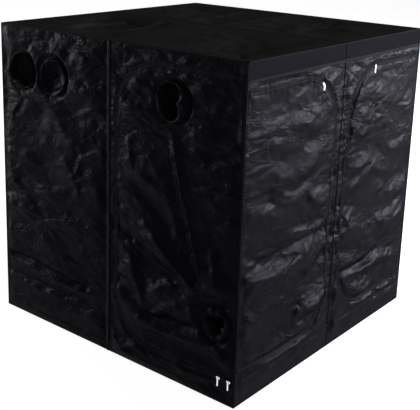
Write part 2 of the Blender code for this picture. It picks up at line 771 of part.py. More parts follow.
def slider_mesh(name, slant):
    """A channel over the coil, turned with it by slant, and a level bail that carries the pull."""
    inner = ZIP_GAP / 2 + ZIP_CLEARANCE
    outer = inner + SLIDER_FLANGE
    half = SLIDER_LENGTH / 2
    top = slider_top()
    under = top - SLIDER_PLATE
    channel = [(-outer, SLIDER_CLEARANCE), (-outer, top), (outer, top), (outer, SLIDER_CLEARANCE),
               (inner, SLIDER_CLEARANCE), (inner, under), (-inner, under), (-inner, SLIDER_CLEARANCE)]
    body = outline_mesh("channel", channel, -half, half)
    body.transform(Matrix.Rotation(slant, 4, "Z") @ CHANNEL_STAND)
    post_in = PULL_EYE_WIDTH / 2 + BAIL_POST / 2
    post_out = post_in + BAIL_POST
    crown = top + BAIL_HEIGHT + BAIL_POST
    posts = [
        box_mesh(f"post_{side}", (min(side * post_in, side * post_out), -BAIL_POST_LENGTH / 2, under),
                 (max(side * post_in, side * post_out), BAIL_POST_LENGTH / 2, crown))
        for side in (-1, 1)
    ]
    middle = (post_in + post_out) / 2
    bar = cylinder_mesh("bar", BAIL_RADIUS, 2 * middle, SMALL_SIDES, facing((1, 0, 0)))
    bar.transform(Matrix.Translation((-middle, 0, top + BAIL_HEIGHT)))
    return united(name, [body, *posts, bar])


def pull_mesh(name):
    """A hanging pull: an eye round the bail's bar and a flat tab that widens below it."""
    hole = BAIL_RADIUS + PULL_EYE_CLEARANCE
    turn = facing((1, 0, 0))
    ring = cylinder_mesh("ring", hole + PULL_EYE_WALL, PULL_EYE_WIDTH, SMALL_SIDES, turn)
    ring.transform(Matrix.Translation((-PULL_EYE_WIDTH / 2, 0, 0)))
    neck, half = PULL_NECK / 2, PULL_WIDTH / 2
    shoulder = -(BAIL_HEIGHT + BAIL_POST)
    chamfer = half / 2
    tab = [(-neck, 0.0), (neck, 0.0), (neck, shoulder), (half, shoulder - chamfer),
           (half, chamfer - PULL_LENGTH), (half - chamfer, -PULL_LENGTH),
           (chamfer - half, -PULL_LENGTH), (-half, chamfer - PULL_LENGTH),
           (-half, shoulder - chamfer), (-neck, shoulder)]
    blade = outline_mesh("tab", tab, -PULL_THICKNESS / 2, PULL_THICKNESS / 2)
    solid = add(name, united(name, [ring, blade]), Matrix())
    bore = cylinder_mesh("bore", hole, 2 * PULL_EYE_WIDTH, SMALL_SIDES, turn)
    bore.transform(Matrix.Translation((-PULL_EYE_WIDTH, 0, 0)))
    cutter = add_cutter(f"{name}_bore", bore, Matrix())
    cut(solid, cutter)
    mesh = baked(solid, name)
    bpy.data.objects.remove(cutter, do_unlink=True)
    return mesh


def add_slider(name, door, axis_point, carrier, u, v, slant):
    """A slider and its pull at a point of the zip. The slider turns or slides about axis_point."""
    place = face_place(door.face) @ Matrix.Translation((u, v, 0))
    slide = pivot(f"{name}_slider_pivot", axis_point, carrier)
    hang(add(f"{name}_slider", slider_mesh(f"{name}_slider", slant), place, ZIP_METAL), slide)
    bail = slider_top() + BAIL_HEIGHT
    lift = pivot(f"{name}_pull_pivot", on_face(door.face, u, v, bail), slide)
    hung = add(f"{name}_pull", pull_mesh(f"{name}_pull"), place @ Matrix.Translation((0, 0, bail)), ZIP_METAL)
    hang(hung, lift)


def make_sliders(door_pivots):
    line_out = ZIP_GAP / 2
    for name, door, share in (
        ("front_left", FRONT_LEFT_DOOR, FRONT_LEFT_SLIDER_ARC_SHARE),
        ("front_right", FRONT_RIGHT_DOOR, FRONT_RIGHT_SLIDER_ARC_SHARE),
    ):
        angle = math.radians(90) * share
        radius = DOOR_TOP_RADIUS + line_out
        centre_u = door.free + DOOR_TOP_RADIUS
        centre_v = door.top - DOOR_TOP_RADIUS
        u = door.side * (centre_u - radius * math.sin(angle))
        v = centre_v + radius * math.cos(angle)
        centre = on_face(door.face, door.side * centre_u, centre_v, 0)
        add_slider(name, door, centre, door_pivots[door.name], u, v, door.side * angle)
    for name, inset in zip(("side_a", "side_b"), SIDE_SLIDER_PLACES, strict=True):
        u = SIDE_DOOR.side * (SIDE_DOOR.face.length / 2 - inset)
        v = SIDE_DOOR.bottom - line_out
        point = on_face(SIDE_DOOR.face, u, v, 0)
        add_slider(name, SIDE_DOOR, point, door_pivots[SIDE_DOOR.name], u, v, 0.0)


clear_scene()
TENT = new_collection("grow_tent")
CUTTERS = new_collection("grow_tent_cutters")
BLACK_FABRIC = new_material("black_fabric", (0.012, 0.012, 0.015), 0.45)
TRAY_FABRIC = new_material("tray_fabric", (0.02, 0.02, 0.022), 0.5)
WHITE_STEEL = new_material("white_steel", (0.75, 0.75, 0.73), 0.35)
CONNECTOR_STEEL = new_material("connector_steel", (0.5, 0.5, 0.52), 0.4)
ZIP_TAPE = new_material("zip_coil", (0.02, 0.02, 0.02), 0.4)
ZIP_METAL = new_material("zip_metal", (0.8, 0.8, 0.82), 0.2, 1.0)
WEBBING = new_material("webbing", (0.01, 0.01, 0.011), 0.8)
NET = new_material("net", (0.02, 0.02, 0.02), 0.7)

make_frame()
make_hanging_bars()
make_spill_tray()
make_roof_and_floor()
make_walls()
make_tab()
DOOR_PIVOTS = {door.name: make_door(door) for door in DOORS}
make_sleeves(DOOR_PIVOTS)
make_sliders(DOOR_PIVOTS)
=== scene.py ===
"""Indoor grow tent: the looks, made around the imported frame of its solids.

Metres, +Z up, the origin on the ground under the tent's centre, as in the frame. A wall is drawn with
u to the right as seen from outside, v up and w out of the tent. Its points are found on a box with
sharp edges and then wrapped round the poles along the box's edges.
"""

import math
from typing import NamedTuple

import bpy
import numpy as np
from bpy.props import FloatProperty, FloatVectorProperty, IntProperty, PointerProperty
from mathutils import Matrix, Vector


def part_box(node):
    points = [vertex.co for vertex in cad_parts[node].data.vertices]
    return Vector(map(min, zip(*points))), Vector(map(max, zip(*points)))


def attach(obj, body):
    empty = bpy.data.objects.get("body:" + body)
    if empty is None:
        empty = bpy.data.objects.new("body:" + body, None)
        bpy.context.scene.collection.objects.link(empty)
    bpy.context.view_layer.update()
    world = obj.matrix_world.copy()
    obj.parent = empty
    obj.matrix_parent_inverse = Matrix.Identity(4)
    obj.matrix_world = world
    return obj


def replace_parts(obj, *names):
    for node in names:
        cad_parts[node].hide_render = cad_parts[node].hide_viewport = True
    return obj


bl_info = {
    "name": "Indoor Grow Tent",
    "version": (1, 0, 0),
    "blender": (4, 5, 0),
    "location": "View3D > Sidebar > Grow Tent",
    "description": "Makes the cloth cover, zips, duct sleeves and steel finish of an indoor grow tent",
    "category": "Add Mesh",
}

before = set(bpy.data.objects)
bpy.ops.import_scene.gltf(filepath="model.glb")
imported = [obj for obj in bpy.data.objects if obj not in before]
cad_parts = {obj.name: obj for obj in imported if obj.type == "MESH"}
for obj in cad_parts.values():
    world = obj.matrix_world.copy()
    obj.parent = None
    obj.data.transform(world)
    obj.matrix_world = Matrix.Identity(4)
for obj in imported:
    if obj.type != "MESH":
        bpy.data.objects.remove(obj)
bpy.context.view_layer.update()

# Sizes of the cover, as in the frame
HALF = 1.0
HEIGHT = 2.0
HEADER_LOW = 1.888
POLE_LINE = 0.983
POLE_RADIUS = 0.0125
ZIP_GAP = 0.008
HINGE_LINE = 0.985
TOP_RADIUS = 0.34
BOTTOM_RADIUS = 0.3
COIL_RADIUS = 0.003

# Lowest and highest corner of the tab on the left wall, and of the vent's net and flap on the back wall
TAB_LOW, TAB_HIGH = (0.737, 1.9557), (0.807, 1.9977)
VENT_LOW, VENT_HIGH = (0.23, 0.12), (0.77, 0.36)

# The vent's hole: its middle, and half its width and height
WINDOW_MIDDLE, WINDOW_HALF = (0.5, 0.24), (0.25, 0.1)

# Level of the hems along the ground, and how far a seam ends from the tent's corner
HEM_LEVEL = 0.034
FRONT_HEM_LEVEL = 0.08
SEAM_END = 0.004

# Thickness of tapes and light cloth, of the tab and the flap, and of the tray
TAPE_THICKNESS = 0.0008
TAB_THICKNESS = 0.0011
TRAY_THICKNESS = 0.0014

# Flat sizes of cloths: widths of the strips that make up the panels round the doors, area of the left wall's
# back half less its ports, and share of a door's rectangle inside its round corners
FRONT_STRIPS, SIDE_STRIPS = 0.245, 0.205
BACK_HALF_AREA = 1.9
DOOR_SHARE = 0.965

# Stitches: from one to the next along a row, and half a thread's width
STITCH = 0.0035
THREAD = 0.0007

# Pitch of the map that holds a wall's folds
STEP = 0.005

# Values each way in a table of random numbers, and how far its start is moved off the tent's middle
TABLE = 64
TABLE_SHIFT = 20

# Points closer than this are merged
MERGE = 0.00002


# What a user may change

class TentCloth(bpy.types.PropertyGroup):
    """Sizes of the cloth and its folds."""

    fold_scale: FloatProperty(
        name="Fold height", description="Scale of the photographed folds", default=2.0, min=0.0, max=3.0
    )
    looser: FloatProperty(
        name="Looser below", description="How much more the folds stand out at the ground",
        default=0.75, min=0.0, max=2.0,
    )
    crumple: FloatProperty(
        name="Crumple", description="Scale of the small creases", default=1.2, min=0.0, max=3.0
    )
    pitch: FloatProperty(
        name="Fine pitch", description="Grid pitch of the front and left walls", default=0.007,
        min=0.004, max=0.03, unit="LENGTH",
    )
    coarse_pitch: FloatProperty(
        name="Coarse pitch", description="Grid pitch of the other cloths", default=0.013,
        min=0.006, max=0.05, unit="LENGTH",
    )
    thickness: FloatProperty(
        name="Thickness", description="Thickness of the coated cloth", default=0.0012,
        min=0.0005, max=0.002, unit="LENGTH",
    )
    edge_radius: FloatProperty(
        name="Edge radius", description="Radius of the cloth where it runs round a pole",
        default=0.005, min=0.003, max=0.008, unit="LENGTH",
    )


class TentColours(bpy.types.PropertyGroup):
    """Colours and gloss of the finishes."""

    cloth: FloatVectorProperty(
        name="Cloth", description="Colour of the black coated cloth", default=(0.0045, 0.0042, 0.0060),
        subtype="COLOR", min=0.0, max=1.0,
    )
    # The roof's colour is about four times lighter than the walls' black cloth; the extra lightness is a
    # painted sheen on its matte cloth.
    roof: FloatVectorProperty(
        name="Roof", description="Colour of the duller roof cloth", default=(0.0185, 0.0183, 0.0176),
        subtype="COLOR", min=0.0, max=1.0,
    )
    lining: FloatVectorProperty(
        name="Lining", description="Colour of the silver film inside", default=(0.62, 0.63, 0.66),
        subtype="COLOR", min=0.0, max=1.0,
    )
    steel: FloatVectorProperty(
        name="Poles", description="Colour of the powder coat on the poles", default=(0.72, 0.72, 0.70),
        subtype="COLOR", min=0.0, max=1.0,
    )
    pull: FloatVectorProperty(
        name="Zip pulls", description="Colour of the plated zip sliders and pulls",
        default=(0.82, 0.82, 0.84), subtype="COLOR", min=0.0, max=1.0,
    )
    gloss: FloatProperty(
        name="Cloth gloss", description="Specular level of the coated cloth", default=0.017,
        min=0.0, max=1.0, subtype="FACTOR",
    )
    roughness: FloatProperty(
        name="Cloth roughness", description="Roughness of the coated cloth", default=0.235,
        min=0.05, max=1.0, subtype="FACTOR",
    )


class TentStage(bpy.types.PropertyGroup):
    """The floor, the lamps and the white surroundings."""

    floor: FloatVectorProperty(
        name="Floor", description="Colour of the floor", default=(0.8, 0.8, 0.8),
        subtype="COLOR", min=0.0, max=1.0,
    )
    floor_glow: FloatProperty(
        name="Floor white", description="White that the floor adds where it is seen or mirrored",
        default=0.86, min=0.0, max=1.0, subtype="FACTOR",
    )
    surround: FloatProperty(
        name="Surround", description="Strength of the world's light on the object", default=0.12,
        min=0.0, max=2.0,
    )
    key: FloatProperty(
        name="Key lamp", description="Power of the lamp at the front right", default=3300.0,
        min=0.0, max=10000.0, unit="POWER",
    )
    edge: FloatProperty(
        name="Edge lamp", description="Power of the lamp behind the left wall", default=840.0,
        min=0.0, max=10000.0, unit="POWER",
    )
    seed: IntProperty(name="Seed", description="Start of the random draws", default=7, min=0)


# The walls and their doors and ports

class Face(NamedTuple):
    """One wall: its name and how far it is turned about Z from the front."""

    name: str
    turn: float


class Door(NamedTuple):
    """A door of a wall and the panel round it. side is 1 with its hinge at +u and -1 with it at -u."""

    name: str
    face: Face
    side: int
    free: float
    top: float
    bottom: float
    panel: str


class Port(NamedTuple):
    """A duct port: the sleeve's node, its place on the left wall and the door that carries it."""

    name: str
    u: float
    v: float
    radius: float
    door: Door


FRONT = Face("front", 0.0)
RIGHT = Face("right", math.radians(90))
BACK = Face("back", math.radians(180))
LEFT = Face("left", math.radians(-90))
FACES = (FRONT, RIGHT, BACK, LEFT)

LEFT_DOOR = Door("front_left_door", FRONT, -1, 0.08, 1.826, 0.23, "front_panel_left")
RIGHT_DOOR = Door("front_right_door", FRONT, 1, 0.08, 1.826, 0.23, "front_panel_right")
SIDE_DOOR = Door("side_door", LEFT, 1, 0.065, 1.905, 0.16, "side_panel_front")
DOORS = (LEFT_DOOR, RIGHT_DOOR, SIDE_DOOR)

PORTS = (
    Port("duct_sleeve_a", -0.79, 1.71, 0.12, None),
    Port("duct_sleeve_b", -0.49, 1.71, 0.12, None),
    Port("duct_sleeve_c", 0.5, 1.71, 0.12, SIDE_DOOR),
    Port("duct_sleeve_d", 0.856, 0.485, 0.1, SIDE_DOOR),
)

# Creases of the front and the left wall, as in the photograph: each is a line of points (u, v, height),
# in millimetres, along the crest or the bottom of a fold. The cloth is drawn taut between them.
FRONT_LINES = (
    ((-970, 1816, 2), (-680, 1816, 3), (-400, 1814, 3), (-280, 1784, 3), (-180, 1700, 3),
     (-100, 1600, 3), (-64, 1510, 3)),
    ((-970, 1644, 1), (-760, 1656, 1), (-540, 1664, 2), (-340, 1674, 2), (-200, 1656, 2)),
    ((-970, 1590, 6), (-780, 1596, 8), (-620, 1576, 9), (-480, 1596, 9), (-320, 1616, 8), (-180, 1580, 5)),
    ((-780, 1476, 5), (-640, 1430, 2), (-520, 1414, 1), (-400, 1440, 2), (-310, 1490, 4)),
    ((-970, 1436, 3), (-880, 1420, 5), (-740, 1356, 8), (-630, 1300, 11), (-520, 1256, 14),
     (-410, 1284, 15), (-310, 1350, 14), (-200, 1426, 10), (-90, 1500, 5)),
    ((-970, 1200, 2), (-780, 1196, 3), (-600, 1192, 3), (-480, 1204, 3), (-340, 1230, 2),
     (-200, 1264, 2), (-76, 1310, 2)),
    ((-970, 1252, 7), (-760, 1260, 7), (-620, 1252, 6)),
    ((-970, 1230, 3), (-760, 1234, 4), (-640, 1226, 4)),
    ((-970, 1120, 6), (-820, 1136, 9), (-660, 1140, 10), (-520, 1128, 9), (-430, 1112, 8)),
    ((-400, 1180, 7), (-320, 1136, 10), (-276, 1068, 10), (-210, 1036, 9), (-120, 1068, 8), (-68, 1090, 3)),
    ((-370, 1116, 3), (-320, 1044, 3), (-230, 990, 3), (-120, 1016, 3)),
    ((-520, 976, 3), (-420, 956, 3), (-300, 936, 3)),
    ((-530, 948, 6), (-420, 924, 7), (-300, 904, 6), (-200, 888, 5), (-90, 876, 3)),
    ((-970, 816, 0), (-760, 834, 0), (-500, 852, -1), (-200, 862, 0), (-70, 854, 2)),
    ((-970, 764, 11), (-840, 740, 15), (-600, 732, 16), (-400, 766, 15), (-260, 808, 10), (-120, 832, 6)),
    ((-970, 600, 4), (-880, 530, 2), (-700, 400, 1), (-540, 330, 0), (-450, 400, 1), (-380, 530, 2),
     (-330, 620, 2)),
    ((-310, 600, 4), (-264, 676, 10), (-176, 740, 10), (-76, 796, 5)),
    ((-300, 576, 2), (-200, 640, 3), (-76, 720, 2)),
    ((-300, 510, 2), (-200, 530, 2), (-90, 544, 2)),
    ((-410, 400, 8), (-320, 394, 12), (-230, 400, 13), (-140, 428, 11), (-68, 464, 5)),
    ((-400, 330, 2), (-200, 330, 2), (-68, 376, 2)),
    ((-490, 276, 5), (-340, 276, 7), (-200, 276, 7), (-76, 300, 4)),
    ((-970, 264, 2), (-700, 272, 2), (-540, 256, 2)),
    ((-970, 190, 5), (-760, 210, 7), (-540, 210, 6), (-340, 230, 5), (-100, 240, 4)),
    ((-960, 156, 3), (-500, 152, 3), (-40, 148, 3)),
    ((-960, 120, 5), (-500, 130, 5), (-40, 124, 5)),
    ((90, 1590, 1), (200, 1596, 0), (320, 1604, 1), (440, 1590, 2)),
    ((120, 1416, 8), (220, 1390, 13), (280, 1456, 11), (324, 1520, 7), (400, 1550, 4)),
    ((96, 1650, 3), (200, 1648, 5), (300, 1640, 5)),
    ((400, 1476, 6), (600, 1516, 8), (800, 1500, 7), (936, 1504, 4)),
    ((280, 1340, 2), (400, 1390, 2), (700, 1416, 2), (936, 1400, 1)),
    ((630, 1280, 2), (780, 1276, 2), (924, 1272, 2)),
    ((636, 1224, 9), (780, 1212, 10), (924, 1220, 6)),
    ((96, 1276, 1), (300, 1268, 1), (480, 1260, 3)),
    ((96, 1208, 7), (240, 1176, 9), (380, 1184, 8), (476, 1216, 6)),
    ((120, 1120, 3), (280, 1140, 3), (400, 1168, 4)),
    ((124, 1064, 7), (200, 1072, 8), (320, 1116, 9), (490, 1176, 7)),
    ((120, 1000, 2), (300, 1000, 2), (520, 1060, 4)),
    ((570, 1340, 5), (560, 1200, 6), (556, 1040, 6), (560, 880, 6)),
    ((700, 1000, 2), (820, 1004, 1), (932, 994, 1)),
    ((700, 910, 8), (820, 876, 9), (932, 888, 5)),
    ((520, 806, 2), (700, 816, 1), (924, 824, 1)),
    ((530, 744, 9), (700, 700, 11), (924, 716, 6)),
    ((520, 600, 3), (720, 556, 1), (932, 576, 2)),
    ((104, 530, 6), (300, 524, 7), (510, 544, 6)),
    ((112, 484, 0), (300, 480, -1), (480, 500, 0), (600, 516, 1), (800, 468, 1), (936, 440, 1)),
    ((150, 440, 8), (320, 440, 10), (560, 464, 10), (760, 408, 10), (936, 376, 6)),
    ((200, 400, 4), (380, 400, 3), (560, 400, 3), (736, 352, 2), (936, 316, 1)),
    ((200, 356, 6), (280, 320, 11), (380, 284, 13), (530, 284, 9)),
    ((200, 270, 2), (380, 230, 2), (600, 250, 2), (880, 240, 2)),
    ((280, 190, 6), (520, 200, 7), (800, 190, 6)),
    ((60, 148, 3), (400, 144, 3), (950, 148, 3)),
    ((60, 120, 5), (400, 120, 5), (950, 120, 5)),
)
LEFT_LINES = (
    ((-920, 1880, 4), (-780, 1890, 7), (-600, 1890, 7), (-420, 1880, 6)),
    ((-940, 1820, 2), (-910, 1700, 3), (-880, 1620, 3)),
    ((-640, 1800, 5), (-634, 1710, 6), (-640, 1620, 4)),
    ((-340, 1820, 3), (-200, 1860, 6), (-40, 1880, 4)),
    ((-340, 1760, 2), (-200, 1780, 1), (-40, 1800, 1)),
    ((-330, 1650, 9), (-200, 1670, 10), (-36, 1700, 7)),
    ((-340, 1590, 3), (-160, 1600, 2), (-30, 1610, 1)),
    ((-920, 1340, 3), (-850, 1450, 8), (-760, 1530, 6)),
    ((-960, 1320, 1), (-880, 1400, 1), (-810, 1476, 2)),
    ((-760, 1340, 2), (-660, 1400, 2), (-590, 1476, 3)),
    ((-570, 1556, 6), (-480, 1480, 9), (-390, 1390, 10), (-310, 1296, 9), (-230, 1284, 6)),
    ((-400, 1564, 2), (-310, 1490, 1), (-200, 1400, 2), (-100, 1340, 2)),
    ((-960, 1290, 4), (-780, 1284, 6), (-630, 1296, 5)),
    ((-500, 1310, 5), (-420, 1296, 6)),
    ((-224, 1236, 7), (-120, 1276, 8), (-24, 1310, 6)),
    ((-200, 1300, 2), (-110, 1316, 2), (-30, 1340, 1)),
    ((-970, 1176, 2), (-880, 1196, 1), (-740, 1200, 1), (-640, 1180, 2)),
    ((-970, 1144, 9), (-880, 1152, 11), (-760, 1152, 11), (-670, 1128, 8)),
    ((-960, 960, 4), (-890, 950, 5), (-800, 1000, 3)),
    ((-600, 1120, 2), (-500, 1160, 2), (-400, 1210, 3)),
    ((-400, 1200, 6), (-320, 1140, 8), (-256, 1040, 9), (-244, 990, 7)),
    ((-340, 1210, 3), (-240, 1160, 3), (-160, 1100, 2)),
    ((-230, 1040, 4), (-140, 1060, 7), (-70, 1060, 8), (-60, 960, 6)),
    ((-620, 990, 3), (-540, 1004, 3), (-450, 1000, 3)),
    ((-620, 964, 7), (-540, 960, 8), (-450, 968, 6)),
    ((-970, 850, 1), (-880, 880, 1), (-760, 876, 1), (-640, 850, 2)),
    ((-970, 760, 8), (-860, 788, 11), (-760, 796, 11), (-660, 804, 8)),
    ((-560, 820, 3), (-400, 850, 2), (-240, 856, 2)),
    ((-560, 776, 6), (-400, 788, 8), (-260, 776, 8), (-120, 790, 8), (-20, 820, 4)),
    ((-880, 640, 3), (-680, 680, 3), (-400, 700, 3), (-200, 720, 4)),
    ((-970, 600, 5), (-800, 560, 5), (-600, 540, 4), (-400, 544, 2), (-200, 620, 3), (-40, 690, 4)),
    ((-400, 530, 0), (-240, 570, 0), (-80, 620, 0)),
    ((-970, 450, 3), (-780, 440, 2), (-500, 420, 2), (-200, 400, 2), (-20, 384, 3)),
    ((-970, 420, -1), (-780, 408, -1), (-500, 390, -1), (-200, 370, 0)),
    ((-970, 384, 6), (-780, 376, 7), (-500, 356, 7), (-200, 344, 7), (-24, 364, 4)),
    ((-960, 284, 1), (-720, 276, 1), (-400, 264, 1), (-200, 300, 2)),
    ((-960, 256, 6), (-720, 240, 7), (-400, 228, 7), (-200, 264, 5)),
    ((-960, 190, 2), (-600, 176, 2), (-200, 240, 2), (-24, 280, 2)),
    ((-660, 100, 4), (-400, 150, 6), (-200, 190, 6), (-24, 230, 4)),
    ((-960, 80, 3), (-740, 76, 3)),
    ((120, 1780, 3), (200, 1840, 4), (320, 1880, 4), (400, 1888, 3)),
    ((130, 1680, 2), (220, 1700, 1), (360, 1720, 1)),
    ((140, 1650, 7), (240, 1656, 9), (370, 1670, 6)),
    ((200, 1800, 6), (280, 1776, 8), (380, 1760, 5)),
    ((220, 1816, 2), (300, 1820, 2), (390, 1800, 2)),
    ((96, 1540, 6), (200, 1570, 7), (380, 1620, 6)),
    ((150, 1464, 4), (180, 1380, 5), (210, 1280, 5)),
    ((184, 1476, 3), (212, 1380, 2), (236, 1290, 3)),
    ((224, 1256, 7), (300, 1224, 8), (400, 1216, 6)),
    ((230, 1280, 3), (320, 1260, 3), (400, 1250, 3)),
    ((640, 1840, 3), (760, 1880, 4), (920, 1890, 3)),
    ((636, 1764, 8), (720, 1820, 9), (810, 1876, 6)),
    ((660, 1710, 3), (760, 1730, 2), (880, 1740, 2)),
    ((644, 1670, 6), (800, 1680, 8), (920, 1660, 5)),
    ((630, 1620, 3), (760, 1630, 2), (940, 1620, 2)),
    ((630, 1590, 7), (720, 1570, 9), (800, 1530, 8), (950, 1544, 5)),
    ((700, 1400, 3), (800, 1420, 2), (950, 1476, 2)),
    ((700, 1380, 6), (800, 1384, 8), (880, 1410, 8), (956, 1440, 5)),
    ((624, 1570, 5), (680, 1460, 7), (800, 1340, 6)),
    ((690, 1256, 5), (800, 1264, 7), (950, 1270, 6)),
    ((690, 1276, 2), (800, 1284, 2), (950, 1290, 2)),
    ((700, 1236, 2), (800, 1240, 2), (950, 1248, 2)),
    ((424, 1556, 4), (456, 1476, 2), (492, 1380, 1), (524, 1280, 0), (560, 1160, 0), (600, 1040, 0),
     (640, 920, 0), (684, 780, 0), (712, 700, 1)),
    ((484, 1560, 6), (514, 1480, 8), (548, 1384, 9), (584, 1274, 9), (618, 1154, 9), (654, 1044, 9),
     (690, 924, 9), (728, 804, 9), (754, 704, 7)),
    ((494, 1556, 4), (524, 1476, 5), (558, 1380, 6), (594, 1270, 6), (628, 1150, 6), (664, 1040, 6),
     (700, 920, 6), (738, 800, 6), (764, 700, 5)),
    ((280, 1400, 5), (380, 1340, 6), (470, 1200, 5), (540, 1000, 5), (600, 840, 5)),
    ((540, 1550, 3), (600, 1400, 3), (680, 1200, 3), (740, 1000, 4), (800, 800, 5)),
    ((250, 1130, 2), (370, 1070, 1), (470, 980, 1), (560, 890, 1), (640, 830, 1), (700, 760, 2)),
    ((160, 1060, 6), (270, 990, 9), (370, 910, 12), (470, 830, 14), (570, 760, 14), (670, 700, 12),
     (730, 650, 8)),
    ((180, 820, 2), (280, 800, 0), (400, 720, 0), (520, 656, 1), (630, 600, 2)),
    ((120, 720, 4), (180, 720, 6), (224, 640, 7), (270, 540, 7), (290, 440, 6)),
    ((200, 780, 2), (250, 700, 1), (300, 600, 1), (324, 510, 1)),
    ((340, 510, 5), (440, 590, 8), (580, 650, 7)),
    ((360, 420, 3), (480, 510, 3), (600, 570, 3)),
    ((380, 400, 5), (500, 470, 8), (640, 530, 7)),
    ((300, 376, 1), (480, 388, 0), (660, 400, 1), (760, 420, 2)),
    ((280, 344, 8), (440, 332, 12), (600, 328, 12), (780, 340, 9)),
    ((120, 480, 5), (160, 340, 4)),
    ((120, 280, 3), (400, 260, 2), (700, 260, 2), (960, 280, 3)),
    ((810, 960, 4), (830, 860, 7), (850, 770, 8), (880, 704, 7)),
    ((850, 960, 2), (880, 860, 1), (910, 760, 2)),
    ((676, 600, 6), (692, 520, 10), (724, 440, 11), (780, 400, 9)),
    ((736, 620, 2), (744, 530, 2), (770, 460, 2)),
    ((850, 370, 6), (910, 320, 9), (970, 280, 7)),
    ((870, 400, 2), (930, 360, 2), (976, 330, 2)),
    ((944, 520, 3), (970, 420, 6), (980, 340, 6)),
    ((20, 30, 4), (160, 90, 7), (300, 170, 6)),
    ((40, 100, 1), (160, 150, 1), (260, 210, 1)),
    ((400, 190, 4), (600, 140, 6), (800, 150, 5)),
    ((400, 80, 2), (600, 50, 2), (800, 70, 2)),
    ((610, 20, 3), (700, 90, 6), (780, 130, 5)),
)

# Places where the small creases are thicker: u, v, half width, half height, in millimetres, and by how much
FRONT_SPOTS = (
    (-700, 1850, 320, 44, 0.5), (-200, 1800, 180, 100, 0.6), (-340, 1420, 300, 120, 0.4),
    (-760, 1600, 220, 80, 0.5), (-740, 1210, 220, 60, 0.8), (-200, 1120, 160, 100, 0.9),
    (-140, 920, 160, 80, 0.8), (-400, 920, 160, 60, 0.5), (-600, 790, 400, 44, 0.8),
    (-880, 560, 80, 80, 0.9), (-700, 600, 300, 160, 0.15), (-160, 760, 120, 100, 0.9),
    (-120, 480, 80, 120, 0.9), (-220, 400, 220, 80, 0.7), (-720, 200, 340, 44, 1.3),
    (-240, 240, 240, 50, 0.9), (-970, 880, 80, 240, 0.6), (-970, 280, 80, 200, 0.8),
    (200, 1520, 100, 80, 0.3), (660, 1480, 300, 100, 0.8), (280, 1220, 220, 70, 1),
    (280, 1100, 200, 50, 0.9), (400, 1300, 120, 100, 0.6), (840, 920, 120, 80, 0.7),
    (740, 760, 220, 80, 0.6), (200, 860, 100, 240, 0.5), (120, 1200, 50, 600, 0.5),
    (340, 360, 220, 70, 0.8), (600, 210, 260, 40, 1.3), (700, 460, 260, 80, 0.6),
    (400, 880, 120, 120, -0.2), (440, 680, 120, 160, -0.2), (24, 1000, 68, 840, 0.9),
)
LEFT_SPOTS = (
    (-500, 1880, 460, 60, 0.6), (-160, 1740, 160, 120, 0.8), (-600, 1500, 240, 80, 0.8),
    (-160, 1520, 180, 120, 0.5), (-340, 1340, 180, 100, 0.7), (-200, 1140, 180, 120, 1),
    (-700, 1260, 280, 40, 0.7), (-400, 960, 120, 80, 0.4), (-880, 1000, 100, 100, 0.5),
    (-160, 800, 160, 60, 0.7), (-780, 820, 180, 50, 0.6), (-960, 880, 60, 120, 0.8),
    (44, 1540, 52, 120, 1.3), (44, 1040, 48, 320, 1.3), (44, 460, 52, 120, 1), (240, 1740, 120, 120, 1.3),
    (400, 1880, 240, 40, 0.8), (760, 1700, 200, 200, 1.2), (280, 1240, 160, 80, 1),
    (200, 1360, 100, 120, 0.7), (600, 1500, 80, 120, 0.8), (840, 1200, 120, 80, 0.5),
    (240, 1000, 100, 80, 0.9), (400, 840, 200, 80, 0.5), (700, 640, 120, 120, 1.1),
    (840, 520, 160, 160, 1.2), (500, 560, 220, 140, 0.7), (180, 760, 80, 100, 0.8),
    (800, 1040, 120, 120, 0.6), (800, 1240, 80, 60, 0.4), (920, 340, 100, 120, 1),
    (200, 480, 80, 180, 0.4), (-500, 360, 480, 60, 0.2), (200, 100, 240, 80, 0.3),
)


def mirrored(rows):
    """Lines or spots of the other half."""
    if isinstance(rows[0][0], tuple):
        return tuple(tuple((-u, v, height) for u, v, height in line) for line in rows)
    return tuple((-u, *rest) for u, *rest in rows)


# The hidden walls take the creases of the photographed ones, mirrored
LINES = {
    "front": (FRONT_LINES, FRONT_SPOTS),
    "left": (LEFT_LINES, LEFT_SPOTS),
    "right": (mirrored(FRONT_LINES), mirrored(FRONT_SPOTS)),
    "back": (mirrored(LEFT_LINES), mirrored(LEFT_SPOTS)),
}

# Small creases: width of a facet, slant of its long side, its stretch, its height and its least share
CRUMPLES = (
    (0.17, 0.2, 2.8, 0.012, 0.6),
    (0.08, -0.25, 3.2, 0.0090, 0.35),
    (0.036, 0.33, 3.1, 0.0052, 0.20),
    (0.018, -0.1, 2.6, 0.0022, 0.14),
)


# Shapes in numbers

def smooth(share):
    share = np.clip(share, 0.0, 1.0)
    return share * share * (3 - 2 * share)


def soft_noise(u, v, size, seed):
    """Smooth random values from -1 to 1 that change over a length of size."""
    table = np.random.default_rng(seed).uniform(-1, 1, (TABLE, TABLE))
    across, up = u / size + TABLE_SHIFT, v / size + TABLE_SHIFT
    column, row = np.floor(across).astype(int), np.floor(up).astype(int)
    right, above = smooth(across - column), smooth(up - row)
    column, row = column % TABLE, row % TABLE
    next_column, next_row = (column + 1) % TABLE, (row + 1) % TABLE
    low = table[column, row] * (1 - right) + table[next_column, row] * right
    high = table[column, next_row] * (1 - right) + table[next_column, next_row] * right
    return low * (1 - above) + high * above


def soften(field, rounds):
    """The map with each value averaged with its neighbours, that many times."""
    for _ in range(rounds):
        wide = np.pad(field, 1, mode="edge")
        field = (wide[:-2, 1:-1] + wide[2:, 1:-1] + 2 * wide[1:-1, 1:-1]) / 4
        wide = np.pad(field, 1, mode="edge")
        field = (wide[1:-1, :-2] + wide[1:-1, 2:] + 2 * wide[1:-1, 1:-1]) / 4
    return field


